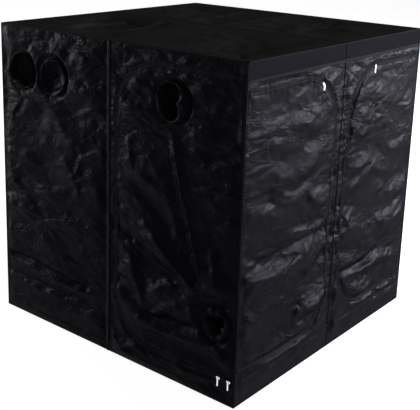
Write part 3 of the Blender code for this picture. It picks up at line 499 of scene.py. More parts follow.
def facet_noise(u, v, size, slant, stretch, seed):
    """Random values from -1 to 1 on a slanted lattice, joined by flat triangles."""
    table = np.random.default_rng(seed).uniform(-1, 1, (TABLE, TABLE))
    along = (u * math.cos(slant) + v * math.sin(slant)) / (size * stretch) + TABLE_SHIFT
    across = (v * math.cos(slant) - u * math.sin(slant)) / size + TABLE_SHIFT
    along = along + 0.5 * across
    column, row = np.floor(along).astype(int), np.floor(across).astype(int)
    right, above = along - column, across - row
    column, row = column % TABLE, row % TABLE
    next_column, next_row = (column + 1) % TABLE, (row + 1) % TABLE
    low, high = table[column, row], table[next_column, next_row]
    over, up = table[next_column, row], table[column, next_row]
    first = low + right * (over - low) + above * (high - over)
    second = low + above * (up - low) + right * (high - up)
    return np.where(right > above, first, second)


def crumple(u, v, busy, seed):
    """Height of the small creases: facets that meet in bent sharp lines, more where the cloth is busy."""
    over = u + 0.030 * soft_noise(u, v, 0.11, seed + 1) + 0.010 * soft_noise(u, v, 0.045, seed + 2)
    up = v + 0.022 * soft_noise(u, v, 0.11, seed + 3) + 0.007 * soft_noise(u, v, 0.045, seed + 4)
    up = up + 0.06 * soft_noise(u, v, 0.5, seed + 5)
    total = 0.0
    for index, (size, slant, stretch, height, quiet) in enumerate(CRUMPLES):
        patch = smooth(0.5 + 1.4 * soft_noise(u, v, 0.22, seed + 10 * index + 6))
        share = quiet + (1 - quiet) * np.clip(busy * (0.35 + 0.9 * patch), 0, 1.6)
        total = total + height * share * facet_noise(over, up, size, slant, stretch, seed + 10 * index)
    return total


def busyness(u, v, spots, base):
    """How thick the small creases are at each point: base, and more in the spots."""
    total = base + np.zeros(u.shape)
    for middle, level, wide, tall, amount in spots:
        over, up = (u * 1000 - middle) / wide, (v * 1000 - level) / tall
        total = total + amount * np.exp(-over ** 2 - up ** 2)
    return np.clip(total, 0, 1.6)


def fold(u, v, height, above, below, points):
    """Height of one fold: a crisp crest along points, and a flank of its own width on each side."""
    crisp, ends = 0.004, 0.22
    nearest = np.full(np.shape(u), np.inf)
    side = np.ones(np.shape(u))
    along = np.zeros(np.shape(u))
    done = 0.0
    for (u0, v0), (u1, v1) in zip(points, points[1:]):
        run_u, run_v = u1 - u0, v1 - v0
        length = math.hypot(run_u, run_v)
        share = np.clip(((u - u0) * run_u + (v - v0) * run_v) / length ** 2, 0, 1)
        gap_u, gap_v = u - u0 - share * run_u, v - v0 - share * run_v
        gap = np.hypot(gap_u, gap_v)
        closer = gap < nearest
        nearest = np.where(closer, gap, nearest)
        side = np.where(closer, run_u * gap_v - run_v * gap_u, side)
        along = np.where(closer, done + share * length, along)
        done += length
    width = np.where(side > 0, above, below)
    share = np.clip(1 - (np.sqrt(nearest ** 2 + crisp ** 2) - crisp) / width, 0, 1)
    fade = smooth(along / (ends * done)) * smooth((done - along) / (ends * done))
    return height * (0.6 * share ** 2 + 0.4 * smooth(share)) * fade


def door_gap(door, u, v):
    """Signed distance to the door's outline, below zero inside it. Its hinge corners are sharp."""
    across = door.side * u - (HINGE_LINE + door.free) / 2
    up = v - (door.top + door.bottom) / 2
    corner = np.where(up > 0, TOP_RADIUS, BOTTOM_RADIUS)
    corner = np.where(across > 0, 0.0, corner)
    over_u = np.abs(across) - (HINGE_LINE - door.free) / 2 + corner
    over_v = np.abs(up) - (door.top - door.bottom) / 2 + corner
    outside = np.hypot(np.maximum(over_u, 0), np.maximum(over_v, 0))
    return np.minimum(np.maximum(over_u, over_v), 0) + outside - corner


def hole_gap(door, u, v):
    """Signed distance to the door's hole in its wall, which has the zip's gap round it."""
    return np.maximum(door_gap(door, u, v) - ZIP_GAP, door.side * u - HINGE_LINE)


def port_gap(port, u, v):
    """Distance outside a port's rim, below zero in its hole."""
    return np.hypot(u - port.u, v - port.v) - port.radius


def face_doors(face):
    return [door for door in DOORS if door.face is face]


def face_ports(face):
    return PORTS if face is LEFT else ()


def window_gap(u, v):
    """Distance outside the vent window of the back wall, below zero in it."""
    beside = np.abs(u - WINDOW_MIDDLE[0]) - WINDOW_HALF[0]
    return np.maximum(beside, np.abs(v - WINDOW_MIDDLE[1]) - WINDOW_HALF[1])


def edge_gap(low, high, u, v):
    """Distance inside the nearest edge of a rectangle."""
    return np.minimum(np.minimum(u - low[0], high[0] - u), np.minimum(v - low[1], high[1] - v))


def held(face, u, v):
    """0 where the cloth is held by a seam or a port, part where a zip stiffens it, 1 in the open."""
    top = HEADER_LOW - v if face is FRONT else HEIGHT - v
    share = smooth((HALF - np.abs(u)) / 0.08) * smooth(top / 0.035) * smooth(v / 0.05)
    share = share * smooth((np.abs(u) - 0.006) / 0.05)
    for door in face_doors(face):
        share = share * (0.35 + 0.65 * smooth((np.abs(door_gap(door, u, v) - 0.004) - 0.006) / 0.03))
    for port in face_ports(face):
        share = share * smooth((port_gap(port, u, v) - 0.006) / 0.035)
    if face is BACK:
        share = share * smooth((window_gap(u, v) - 0.022) / 0.1)
    return share


def pole_limit(u, v):
    """How far the cloth may hang in before it meets the poles behind it."""
    clear = np.minimum(np.abs(u), POLE_LINE - np.abs(u))
    clear = np.minimum(clear, np.minimum(v, HEIGHT - v) - (HALF - POLE_LINE))
    return -0.0022 - 0.45 * np.maximum(clear - POLE_RADIUS - 0.004, 0.0)


# Maps of the walls' folds, filled by the operator that settles the cloth
LIFTS = {}


def map_points():
    u = np.arange(-HALF, HALF + STEP / 2, STEP)
    v = np.arange(0.0, HEIGHT + STEP / 2, STEP)
    return np.meshgrid(u, v)


def sample(values, u, v):
    """Values of a map at points of its wall."""
    rows, columns = values.shape
    across = np.clip((np.asarray(u) + HALF) / STEP, 0, columns - 1.001)
    up = np.clip(np.asarray(v) / STEP, 0, rows - 1.001)
    column, row = across.astype(int), up.astype(int)
    right, above = across - column, up - row
    low = values[row, column] * (1 - right) + values[row, column + 1] * right
    high = values[row + 1, column] * (1 - right) + values[row + 1, column + 1] * right
    return low * (1 - above) + high * above


def lift_at(face, u, v):
    """Height of the cloth's outer side at points of a wall, from its map."""
    return sample(LIFTS[face.name], u, v)


def border_lines(top):
    """Lines of height zero along a wall's edges and its middle seam."""
    levels = np.linspace(0, top, 21)
    lines = [[(u, v, 0) for v in levels] for u in (-1000, 0, 1000)]
    for v in (0, top):
        lines += [[(side * u, v, 0) for u in np.linspace(100, 900, 9)] for side in (-1, 1)]
    return lines


def finer(field):
    """The map at half its pitch."""
    rows, columns = field.shape
    made = np.zeros((2 * rows - 1, 2 * columns - 1))
    made[::2, ::2] = field
    made[1::2, ::2] = (field[:-1] + field[1:]) / 2
    made[:, 1::2] = (made[:, :-2:2] + made[:, 2::2]) / 2
    return made


def drawn_between(lines):
    """Map of a wall's cloth, drawn taut between lines of (u, v, height) in millimetres."""
    spots = []
    for line in lines:
        for start, end in zip(line, line[1:]):
            count = int(math.dist(start, end) / (400 * STEP)) + 2
            spots.append(np.linspace(start, end, count) / 1000)
    u, v, height = np.concatenate(spots).T
    most = round(2 * HALF / STEP)
    field = None
    for step in (16, 8, 4, 2, 1):
        size = most // step + 1
        row = np.rint(v / (step * STEP)).astype(int)
        column = np.rint((u + HALF) / (step * STEP)).astype(int)
        total, count = np.zeros((size, size)), np.zeros((size, size))
        np.add.at(total, (row, column), height)
        np.add.at(count, (row, column), 1)
        fixed = count > 0
        known = total[fixed] / count[fixed]
        field = np.zeros((size, size)) if field is None else finer(field)
        for _ in range(90):
            wide = np.pad(field, 1, mode="edge")
            field = (wide[:-2, 1:-1] + wide[2:, 1:-1] + wide[1:-1, :-2] + wide[1:-1, 2:]) / 4
            field[fixed] = known
    return field


# Work on objects

def select_only(piece):
    bpy.ops.object.select_all(action="DESELECT")
    piece.select_set(True)
    bpy.context.view_layer.objects.active = piece


def points_of(piece):
    points = np.empty(len(piece.data.vertices) * 3)
    piece.data.vertices.foreach_get("co", points)
    return points.reshape(-1, 3)


def move_points(piece, points):
    piece.data.vertices.foreach_set("co", np.asarray(points, float).ravel())
    piece.data.update()


def flat_places(piece):
    """The two coordinates of a flat grid's points."""
    points = points_of(piece)
    return points[:, 0].copy(), points[:, 1].copy()


def at_level(x, y, level):
    return np.stack([x, y, np.full(len(x), level)], 1)


def corners_of(piece):
    """The points of the faces' corners, one face after another."""
    corners = np.empty(len(piece.data.loops), int)
    piece.data.loops.foreach_get("vertex_index", corners)
    return corners


def set_uv(piece, u, v):
    """Writes the piece's UV map in metres, from one u and v for each point."""
    corners = corners_of(piece)
    layer = piece.data.uv_layers[0] if piece.data.uv_layers else piece.data.uv_layers.new(name="UVMap")
    layer.data.foreach_set("uv", np.stack([u[corners], v[corners]], 1).ravel())


def add_grid(name, across, up):
    """A flat grid of that many faces, from (0, 0) to (1, 1)."""
    bpy.ops.object.select_all(action="DESELECT")
    bpy.ops.mesh.primitive_grid_add(x_subdivisions=across, y_subdivisions=up, size=1.0, location=(0, 0, 0))
    piece = bpy.context.object
    piece.name = name
    piece.data.name = name
    move_points(piece, points_of(piece) + (0.5, 0.5, 0.0))
    return piece


def grid_places(piece, across, up):
    """Each point's column and row in a grid of that many faces from (0, 0) to (1, 1)."""
    column, row = flat_places(piece)
    return np.rint(column * across).astype(int), np.rint(row * up).astype(int)


def add_cloth_grid(name, low, high, pitch):
    """A flat grid from low to high, with faces of about that pitch."""
    size = np.array(high) - np.array(low)
    piece = add_grid(name, max(round(size[0] / pitch), 1), max(round(size[1] / pitch), 1))
    points = points_of(piece)
    points[:, :2] = points[:, :2] * size + low
    move_points(piece, points)
    return piece


def start_edit(piece):
    """Goes into edit mode with all of the piece selected."""
    select_only(piece)
    bpy.context.tool_settings.mesh_select_mode = (True, False, False)
    bpy.ops.object.mode_set(mode="EDIT")
    bpy.ops.mesh.select_all(action="SELECT")


def trim(piece, gap):
    """Deletes the faces where gap is above zero, and draws the points that stick out back to zero."""
    points = points_of(piece)
    inside = gap(points[:, 0], points[:, 1]) < -0.0008
    keep = inside[corners_of(piece).reshape(-1, 4)].any(axis=1)
    select_only(piece)
    bpy.context.tool_settings.mesh_select_mode = (False, False, True)
    piece.data.vertices.foreach_set("select", np.zeros(len(piece.data.vertices), bool))
    piece.data.edges.foreach_set("select", np.zeros(len(piece.data.edges), bool))
    piece.data.polygons.foreach_set("select", ~keep)
    bpy.ops.object.mode_set(mode="EDIT")
    bpy.ops.mesh.delete(type="FACE")
    bpy.ops.object.mode_set(mode="OBJECT")
    points = points_of(piece)
    nudge = 0.0004
    for _ in range(4):
        u, v = points[:, 0], points[:, 1]
        out = gap(u, v)
        slope_u = (gap(u + nudge, v) - gap(u - nudge, v)) / (2 * nudge)
        slope_v = (gap(u, v + nudge) - gap(u, v - nudge)) / (2 * nudge)
        steep = np.maximum(slope_u ** 2 + slope_v ** 2, 0.2)
        back = np.where(out > 0, out / steep, 0.0)
        points[:, 0] = u - back * slope_u
        points[:, 1] = v - back * slope_v
    move_points(piece, points)


def wrap(box_points, lift):
    """Points on the box with sharp edges, moved onto the cover and out by lift."""
    edge = bpy.context.scene.tent_cloth.edge_radius
    low = np.array((edge - HALF, edge - HALF, edge))
    high = np.array((HALF - edge, HALF - edge, HEIGHT - edge))
    core = np.clip(box_points, low, high)
    out = box_points - core
    out = out / np.maximum(np.linalg.norm(out, axis=1, keepdims=True), 1e-9)
    return core + out * (edge + np.asarray(lift))[:, None]


def stand(face, u, v, lift):
    """Points of a wall, out from the box by lift, in the tent's own axes."""
    turned = (
        u * math.cos(face.turn) + HALF * math.sin(face.turn),
        u * math.sin(face.turn) - HALF * math.cos(face.turn),
        v,
    )
    return wrap(np.stack(turned, 1), lift)


def add_modifier(piece, kind, **settings):
    """Adds a modifier with its settings and applies it."""
    modifier = piece.modifiers.new(kind.lower(), kind)
    for name, value in settings.items():
        setattr(modifier, name, value)
    select_only(piece)
    bpy.ops.object.modifier_apply(modifier=modifier.name)


def thicken(piece, thickness=None):
    """Gives a sheet its thickness inwards. The inner side takes the second material, where it has one."""
    cloth = bpy.context.scene.tent_cloth
    lined = len(piece.data.materials) > 1
    add_modifier(
        piece, "SOLIDIFY", thickness=thickness or cloth.thickness, offset=-1.0,
        material_offset=1 if lined else 0, material_offset_rim=0,
    )


def finish_piece(piece, body, slot, *kinds, angle=60.0):
    """Gives a piece its materials, smooth shading and its body. Its slot is not used."""
    for kind in kinds:
        piece.data.materials.append(MATERIALS[kind])
    select_only(piece)
    bpy.ops.object.shade_smooth_by_angle(angle=math.radians(angle))
    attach(piece, body)


def stand_piece(piece, face):
    """Stands a flat trimmed grid up on its wall, over the wall's folds, with a UV map in metres."""
    u, v = flat_places(piece)
    set_uv(piece, u, v)
    move_points(piece, stand(face, u, v, lift_at(face, u, v)))


def facing_out(piece):
    """Turns the faces of a sheet round where they look at the tent's middle."""
    mesh = piece.data
    normals = np.empty(len(mesh.polygons) * 3)
    centres = np.empty(len(mesh.polygons) * 3)
    mesh.polygons.foreach_get("normal", normals)
    mesh.polygons.foreach_get("center", centres)
    outwards = (normals.reshape(-1, 3) * (centres.reshape(-1, 3) - (0.0, 0.0, HEIGHT / 2))).sum()
    if outwards < 0:
        flip(piece)


def flip(piece):
    start_edit(piece)
    bpy.ops.mesh.flip_normals()
    bpy.ops.object.mode_set(mode="OBJECT")


# Materials

def node(tree, kind, **settings):
    made = tree.nodes.new(kind)
    for name, value in settings.items():
        setattr(made, name, value)
    return made


def set_inputs(made, **values):
    for name, value in values.items():
        made.inputs[name.replace("_", " ")].default_value = value
    return made


def fed(tree, made, source, **values):
    """A texture with its numbers set, that takes its place from source."""
    tree.links.new(source, made.inputs["Vector"])
    return set_inputs(made, **values)


def calculated(tree, operation, *values, clamp=False):
    """Result of a Math node on sockets and plain numbers."""
    made = node(tree, "ShaderNodeMath", operation=operation, use_clamp=clamp)
    for socket, value in zip(made.inputs, values):
        if isinstance(value, bpy.types.NodeSocket):
            tree.links.new(value, socket)
        else:
            socket.default_value = value
    return made.outputs["Value"]


def new_material(name, colour, roughness, level=0.5, metallic=0.0):
    """A material, its tree and its shader, which holds the numbers that are the same all over."""
    made = bpy.data.materials.new(name)
    made.use_nodes = True
    made.diffuse_color = (*colour, 1.0)
    shader = made.node_tree.nodes["Principled BSDF"]
    set_inputs(shader, Base_Color=(*colour, 1.0), Roughness=roughness, Metallic=metallic)
    set_inputs(shader, Specular_IOR_Level=level)
    return made, made.node_tree, shader


def vary_colour(tree, shader, source, colour, scale, spread):
    """Base colour that wanders a little round its mean. Returns the strength of its noise."""
    noise = fed(tree, node(tree, "ShaderNodeTexNoise"), source, Scale=scale, Detail=4.0, Roughness=0.6)
    ramp = node(tree, "ShaderNodeValToRGB")
    for element, position, share in zip(ramp.color_ramp.elements, (0.3, 0.7), (1 - spread, 1 + spread)):
        element.position = position
        element.color = (*[part * share for part in colour], 1)
    tree.links.new(noise.outputs["Fac"], ramp.inputs["Fac"])
    tree.links.new(ramp.outputs["Color"], shader.inputs["Base Color"])
    return noise.outputs["Fac"]


def vary_roughness(tree, shader, strength, low, high):
    spread = set_inputs(node(tree, "ShaderNodeMapRange"), To_Min=low, To_Max=high)
    tree.links.new(strength, spread.inputs["Value"])
    tree.links.new(spread.outputs["Result"], shader.inputs["Roughness"])


def add_bump(tree, shader, height, distance):
    """Adds a bump on top of those that are already linked."""
    bump = set_inputs(node(tree, "ShaderNodeBump"), Distance=distance, Strength=1.0)
    tree.links.new(height, bump.inputs["Height"])
    earlier = shader.inputs["Normal"].links
    if earlier:
        tree.links.new(earlier[0].from_socket, bump.inputs["Normal"])
    tree.links.new(bump.outputs["Normal"], shader.inputs["Normal"])


def slanted(tree, source, degrees, stretch=1.0):
    """The place turned by an angle and squeezed along its first axis, for creases that run one way."""
    mapping = node(tree, "ShaderNodeMapping", vector_type="POINT")
    fed(tree, mapping, source, Rotation=(0.0, 0.0, math.radians(degrees)), Scale=(1 / stretch, 1.0, 1.0))
    return mapping.outputs["Vector"]


def crinkle_height(tree, source, scale):
    """Height of crinkles in the coating: flat facets that meet in bent creases, higher in patches."""
    noise = fed(tree, node(tree, "ShaderNodeTexNoise"), source, Scale=scale * 0.7, Detail=2.0)
    bend = set_inputs(node(tree, "ShaderNodeMixRGB", blend_type="LINEAR_LIGHT"), Fac=0.06)
    tree.links.new(source, bend.inputs["Color1"])
    tree.links.new(noise.outputs["Color"], bend.inputs["Color2"])
    cells = node(tree, "ShaderNodeTexVoronoi", feature="DISTANCE_TO_EDGE")
    fed(tree, cells, bend.outputs["Color"], Scale=scale)
    wide = fed(tree, node(tree, "ShaderNodeTexNoise"), source, Scale=scale * 0.16, Detail=1.0)
    patch = set_inputs(node(tree, "ShaderNodeMapRange"), From_Min=0.39, From_Max=0.62)
    tree.links.new(wide.outputs["Fac"], patch.inputs["Value"])
    return calculated(tree, "MULTIPLY", cells.outputs["Distance"], patch.outputs["Result"])


def crossed_waves(tree, source, threads):
    """Strengths of two sets of waves that cross, one for each direction of a cloth's threads."""
    waves = []
    for direction in ("X", "Y"):
        wave = node(tree, "ShaderNodeTexWave", wave_type="BANDS", bands_direction=direction)
        waves.append(fed(tree, wave, source, Scale=threads).outputs["Fac"])
    return waves


def weave_height(tree, source, threads):
    """Over and under threads."""
    return calculated(tree, "MULTIPLY", *crossed_waves(tree, source, threads))


def uv_source(tree):
    return node(tree, "ShaderNodeUVMap", uv_map="UVMap").outputs["UV"]


def object_source(tree):
    return node(tree, "ShaderNodeTexCoord").outputs["Object"]


def even_gloss(tree, shader, level):
    """Specular level that drops from 60 degrees to edge-on, where a woven cloth's coating shows no mirror."""
    facing = node(tree, "ShaderNodeLayerWeight")
    tree.links.new(shader.inputs["Normal"].links[0].from_socket, facing.inputs["Normal"])
    straight = calculated(tree, "SUBTRACT", 1.0, facing.outputs["Facing"], clamp=True)
    twice = calculated(tree, "MULTIPLY", straight, 2.0, clamp=True)
    scaled = calculated(tree, "MULTIPLY", calculated(tree, "POWER", twice, 3.3), level)
    tree.links.new(scaled, shader.inputs["Specular IOR Level"])


def cloth_material(name, colour, roughness, level, crinkle=0.005):
    """Coated cloth: large and small creases that cross, tiny crinkles all over and a fine weave."""
    made, tree, shader = new_material(name, colour, roughness)
    uv, place = uv_source(tree), object_source(tree)
    set_inputs(shader, Specular_Tint=(0.70, 0.67, 1.0, 1.0))
    noise = vary_colour(tree, shader, place, colour, 3.0, 0.16)
    vary_roughness(tree, shader, noise, roughness - 0.05, roughness + 0.05)
    for degrees, scale, share in ((-24, 11.0, 4.4), (22, 30.0, 1.3)):
        creases = crinkle_height(tree, slanted(tree, uv, degrees, 2.2), scale)
        add_bump(tree, shader, creases, crinkle * share)
    add_bump(tree, shader, crinkle_height(tree, place, 90.0), crinkle * 0.2)
    add_bump(tree, shader, weave_height(tree, uv, 300.0), 0.00012)
    even_gloss(tree, shader, level)
    return made


def lining_material(colour):
    """Embossed silver film: a fine diamond pattern over soft crinkles."""
    made, tree, shader = new_material("silver_lining", colour, 0.28, 0.5, 0.85)
    uv, place = uv_source(tree), object_source(tree)
    noise = vary_colour(tree, shader, place, colour, 6.0, 0.06)
    vary_roughness(tree, shader, noise, 0.22, 0.36)
    add_bump(tree, shader, crinkle_height(tree, place, 25.0), 0.002)
    add_bump(tree, shader, weave_height(tree, slanted(tree, uv, 45), 60.0), 0.0004)
    return made


def tape_material(name, colour, roughness, rows, ribs=240.0):
    """Woven tape with one or two rows of stitches, or none.

    Its UV map runs along the tape and across it, in metres, and rows are places across it.
    """
    made, tree, shader = new_material(name, colour, roughness)
    uv = uv_source(tree)
    noise = vary_colour(tree, shader, object_source(tree), colour, 12.0, 0.2)
    vary_roughness(tree, shader, noise, roughness - 0.06, roughness + 0.06)
    add_bump(tree, shader, weave_height(tree, uv, ribs), 0.00015)
    split = fed(tree, node(tree, "ShaderNodeSeparateXYZ"), uv)
    stitched = []
    for row in rows:
        off = calculated(tree, "ABSOLUTE", calculated(tree, "SUBTRACT", split.outputs["Y"], row))
        near = node(tree, "ShaderNodeMapRange")
        set_inputs(near, From_Min=0.0, From_Max=THREAD, To_Min=1.0, To_Max=0.0)
        tree.links.new(off, near.inputs["Value"])
        stitched.append(near.outputs["Result"])
    if stitched:
        both = calculated(tree, "MAXIMUM", stitched[0], stitched[-1])
        turns = calculated(tree, "MULTIPLY", split.outputs["X"], 2 * math.pi / STITCH)
        raised = calculated(tree, "MULTIPLY_ADD", calculated(tree, "SINE", turns), 0.5, 0.5)
        add_bump(tree, shader, calculated(tree, "MULTIPLY", both, raised), 0.0005)
    even_gloss(tree, shader, 0.015)
    return made


def steel_material(name, colour, roughness, metallic, grain):
    """Powder coat or plated metal with a fine grain and duller patches."""
    made, tree, shader = new_material(name, colour, roughness, 0.5, metallic)
    place = object_source(tree)
    noise = vary_colour(tree, shader, place, colour, 14.0, 0.05)
    vary_roughness(tree, shader, noise, max(roughness - 0.08, 0.05), roughness + 0.1)
    fine = fed(tree, node(tree, "ShaderNodeTexNoise"), place, Scale=900.0, Detail=2.0)
    add_bump(tree, shader, fine.outputs["Fac"], grain)
    return made


def net_material(colour):
    """Fine mesh with open holes between its threads."""
    threads = 160.0
    made, tree, shader = new_material("vent_mesh", colour, 0.7, 0.2)
    uv = uv_source(tree)
    vary_colour(tree, shader, object_source(tree), colour, 30.0, 0.2)
    add_bump(tree, shader, weave_height(tree, uv, threads), 0.0003)
    most = calculated(tree, "MAXIMUM", *crossed_waves(tree, uv, threads))
    tree.links.new(calculated(tree, "GREATER_THAN", most, 0.55), shader.inputs["Alpha"])
    return made


MATERIALS = {}


def paler(colour, times):
    return tuple(part * times for part in colour)


def make_materials():
    colours = bpy.context.scene.tent_colours
    cloth, gloss = tuple(colours.cloth), colours.gloss
    grey = (0.02, 0.02, 0.022)
    MATERIALS.update(
        cloth=cloth_material("black_coated_cloth", cloth, colours.roughness, gloss),
        # The roof is nearly matte, and its lighter colour is a painted sheen.
        roof=cloth_material("roof_cloth", tuple(colours.roof), 0.6, 0.005, 0.0006),
        # The header band is the black cloth made 1.3 times paler: a painted sheen in place of the gloss on
        # its flat face.
        band=cloth_material("header_cloth_painted_sheen", paler(cloth, 1.3), 0.45, 0.005, 0.0005),
        sleeve=cloth_material("sleeve_cloth", cloth, 0.36, 0.016, 0.0022),
        tray=cloth_material("tray_cloth", grey, 0.45, 0.1, 0.0008),
        lining=lining_material(tuple(colours.lining)),
        tape=tape_material("zip_tape", paler(cloth, 1.1), 0.5, (0.004,)),
        # Seams and welts are the cloth painted 1.2 times paler: a painted sheen on their raised tape.
        seam=tape_material("seam_binding_painted_sheen", paler(cloth, 1.2), 0.42, (-0.0032, 0.0032)),
        # The left wall's pole seam is painted about five times lighter than the cloth: a painted sheen along
        # its raised tape.
        bright_seam=tape_material("side_seam_painted_sheen", (0.021, 0.0205, 0.025), 0.33, (-0.009, 0.009)),
        hem=cloth_material("hem_cloth", cloth, 0.3, gloss, 0.004),
        coil=tape_material("zip_coil", grey, 0.35, ()),
        tab=tape_material("hook_and_loop", (0.007, 0.007, 0.0075), 0.9, (0.004, 0.038), ribs=90.0),
        net=net_material((0.02, 0.02, 0.02)),
        poles=steel_material("white_powder_coat", tuple(colours.steel), 0.34, 0.0, 0.00005),
        joints=steel_material("connector_plate", (0.42, 0.42, 0.44), 0.38, 0.9, 0.00006),
        pull=steel_material("plated_zip_metal", tuple(colours.pull), 0.2, 1.0, 0.00001),
    )


# Cloth of the cover

def puckers(face, u, v):
    """Short creases that run off square to the zips and the middle seam, where the thread draws the cloth in.

    On the left wall they also cross the long fold that runs down its door between the two ports.
    """
    across = soft_noise(u / 4, v, 0.021, 31) + 0.5 * soft_noise(u / 3, v, 0.012, 32)
    along = soft_noise(u, v / 4, 0.021, 33) + 0.5 * soft_noise(u, v / 3, 0.012, 34)
    total = across * np.exp(-np.abs(u) / 0.05)
    for door in face_doors(face):
        gap = np.abs(door_gap(door, u, v))
        level = np.minimum(np.abs(v - door.top), np.abs(v - door.bottom))
        upright = smooth((level - 0.08) / 0.15)
        total = total + (across * upright + along * (1 - upright)) * np.exp(-gap / 0.045)
    if face is LEFT:
        gap = np.abs((u - 0.46) * 0.95 + (v - 1.55) * 0.31)
        crossing = 1.5 * across * np.exp(-(gap / 0.03) ** 2)
        total = total + crossing * smooth((v - 0.68) / 0.05) * smooth((1.6 - v) / 0.05)
    height = 0.005 if face is FRONT else 0.0036
    return height * total * (0.5 + 0.5 * soft_noise(u, v, 0.13, 35))


def settle_wall(face, cloth, seed):
    """Fills a wall's map with its folds and its small creases, calm at its seams and off the poles.

    The folds and creases stand out more towards the ground, where the cloth hangs looser, and more still on
    the left wall.
    """
    u, v = map_points()
    lines, spots = LINES[face.name]
    top = HEADER_LOW if face is FRONT else HEIGHT
    plain = soften(drawn_between([*lines, *border_lines(1000 * top)]), 1)
    over = u + 0.009 * soft_noise(u, v, 0.1, seed + 70) + 0.002 * soft_noise(u, v, 0.035, seed + 71)
    up = v + 0.007 * soft_noise(u, v, 0.1, seed + 72) + 0.0015 * soft_noise(u, v, 0.035, seed + 73)
    loose = smooth((1.5 - v) / 1.2)
    busy = 0.45
    if face is LEFT:
        loose = loose + 0.7 * smooth(u / 0.15) * smooth((1.7 - v) / 0.4)
        loose = loose + 0.5 * smooth(-u / 0.1) * smooth((1.3 - v) / 0.4)
        busy = 0.2 + 0.4 * smooth(u / 0.1)
    total = cloth.fold_scale * sample(plain, over, up) * (1 + cloth.looser * loose)
    small = crumple(u, v, busyness(u, v, spots, busy), seed)
    total = total + cloth.crumple * small * (1 + 0.2 * loose)
    total = soften(total, 1) * held(face, u, v)
    calm = smooth((HALF - np.abs(u)) / 0.05) * smooth((top - v) / 0.03) * smooth(v / 0.05)
    total = total + cloth.crumple * puckers(face, u, v) * calm
    LIFTS[face.name] = np.maximum(total, pole_limit(u, v))


class TENT_OT_settle(bpy.types.Operator):
    """Work out the folds of the four walls"""

    bl_idname = "tent.settle_cloth"
    bl_label = "Settle the cloth"

    def execute(self, context):
        seed = context.scene.tent_stage.seed
        for index, face in enumerate(FACES):
            settle_wall(face, context.scene.tent_cloth, seed + 100 * index)
        make_materials()
        return {"FINISHED"}


def wall_cloth(name, face, low, high, gap, pitch, node_name, body, held_how, rests_on, area=None, cut=None,
               kind="cloth"):
    """One panel of a wall: a grid, trimmed to its outline, on the wall's folds, lined with silver.

    cut is the width and length of its strips side by side, where it is sewn from strips round a door.
    """
    piece = add_cloth_grid(name, low, high, pitch)
    if gap:
        trim(piece, gap)
    stand_piece(piece, face)
    facing_out(piece)
    finish_piece(piece, body, "black_fabric", kind, "lining")
    thicken(piece)
    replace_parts(piece, node_name)
    size = cut or (high[0] - low[0], high[1] - low[1])
    return piece, size, held_how, rests_on, area


def door_path(door, grow, inset, pitch=0.009):
    """Points along the zip side of a door, from hinge to hinge, and the direction out of the door there.

    They lie outside the door's outline by grow, and end beside the hinge line by inset.
    """
    hinge, free = HINGE_LINE - inset, door.free
    parts = []
    top_centre = (free + TOP_RADIUS, door.top - TOP_RADIUS)
    low_centre = (free + BOTTOM_RADIUS, door.bottom + BOTTOM_RADIUS)

    def run(start, end, out):
        count = max(round(math.dist(start, end) / pitch), 1)
        for index in range(count):
            share = index / count
            u = start[0] + (end[0] - start[0]) * share
            v = start[1] + (end[1] - start[1]) * share
            parts.append((u, v, *out))

    def arc(centre, radius, first, last):
        count = max(round(radius * math.radians(last - first) / pitch), 2)
        for index in range(count):
            angle = math.radians(first + (last - first) * index / count)
            out = (math.cos(angle), math.sin(angle))
            parts.append((centre[0] + radius * out[0], centre[1] + radius * out[1], *out))

    run((hinge, door.top), (top_centre[0], door.top), (0.0, 1.0))
    arc(top_centre, TOP_RADIUS, 90, 180)
    run((free, top_centre[1]), (free, low_centre[1]), (-1.0, 0.0))
    arc(low_centre, BOTTOM_RADIUS, 180, 270)
    run((low_centre[0], door.bottom), (hinge, door.bottom), (0.0, -1.0))
    parts.append((hinge, door.bottom, 0.0, -1.0))
    path = np.array(parts)
    path[:, 0] += grow * path[:, 2]
    path[:, 1] += grow * path[:, 3]
    path[:, 0] *= door.side
    path[:, 2] *= door.side
    return path


def line_path(start, end):
    """Points from start to end on a wall, and the direction to the line's right side."""
    pitch = 0.01
    count = max(round(math.dist(start, end) / pitch), 1)
    share = np.linspace(0, 1, count + 1)[:, None]
    places = np.array(start) * (1 - share) + np.array(end) * share
    run = np.array(end, float) - np.array(start, float)
    run /= np.linalg.norm(run)
    return np.hstack([places, np.tile((run[1], -run[0]), (count + 1, 1))])


# Sections of the strips: rows of (place across the strip, height over the cloth)
WELT = ((-0.006, 0.0004), (-0.0035, 0.0016), (-0.0012, 0.0034), (0.0012, 0.0034), (0.0035, 0.0016),
        (0.006, 0.0004))
HEM = ((-0.032, 0.0004), (-0.03, 0.0016), (0.0, 0.0018), (0.028, 0.0018), (0.031, 0.0004))
FRONT_HEM = ((-0.077, 0.0004), (-0.075, 0.0014), (-0.05, 0.0015), (-0.025, 0.0015), (0.0, 0.0015),
             (0.025, 0.0015), (0.05, 0.0015), (0.068, 0.0016), (0.0715, 0.003), (0.0745, 0.0016),
             (0.078, 0.0004))
PIPING = ((-0.014, 0.0004), (-0.012, 0.002), (-0.0085, 0.0034), (-0.006, 0.002), (-0.004, 0.0008),
          (-0.0015, 0.002), (0.001, 0.003), (0.003, 0.002), (0.006, 0.0004))
POLE_SEAM = ((-0.013, 0.0004), (-0.011, 0.0022), (-0.006, 0.0042), (0.0, 0.005), (0.006, 0.0042),
             (0.011, 0.0022), (0.013, 0.0004))
TAPE_INNER = ((-0.014, 0.0003), (-0.012, 0.001), (-0.006, 0.0012), (-0.001, 0.0012), (0.0022, 0.0008))
TAPE_OUTER = ((0.0056, 0.0008), (0.008, 0.0012), (0.014, 0.0014), (0.019, 0.001), (0.021, 0.0003))
EDGE_SEAM = ((-0.0075, 0.0003), (-0.006, 0.0012), (-0.004, 0.0022), (-0.002, 0.0028), (0.0, 0.003),
             (0.002, 0.0028), (0.004, 0.0022), (0.006, 0.0012), (0.0075, 0.0003))


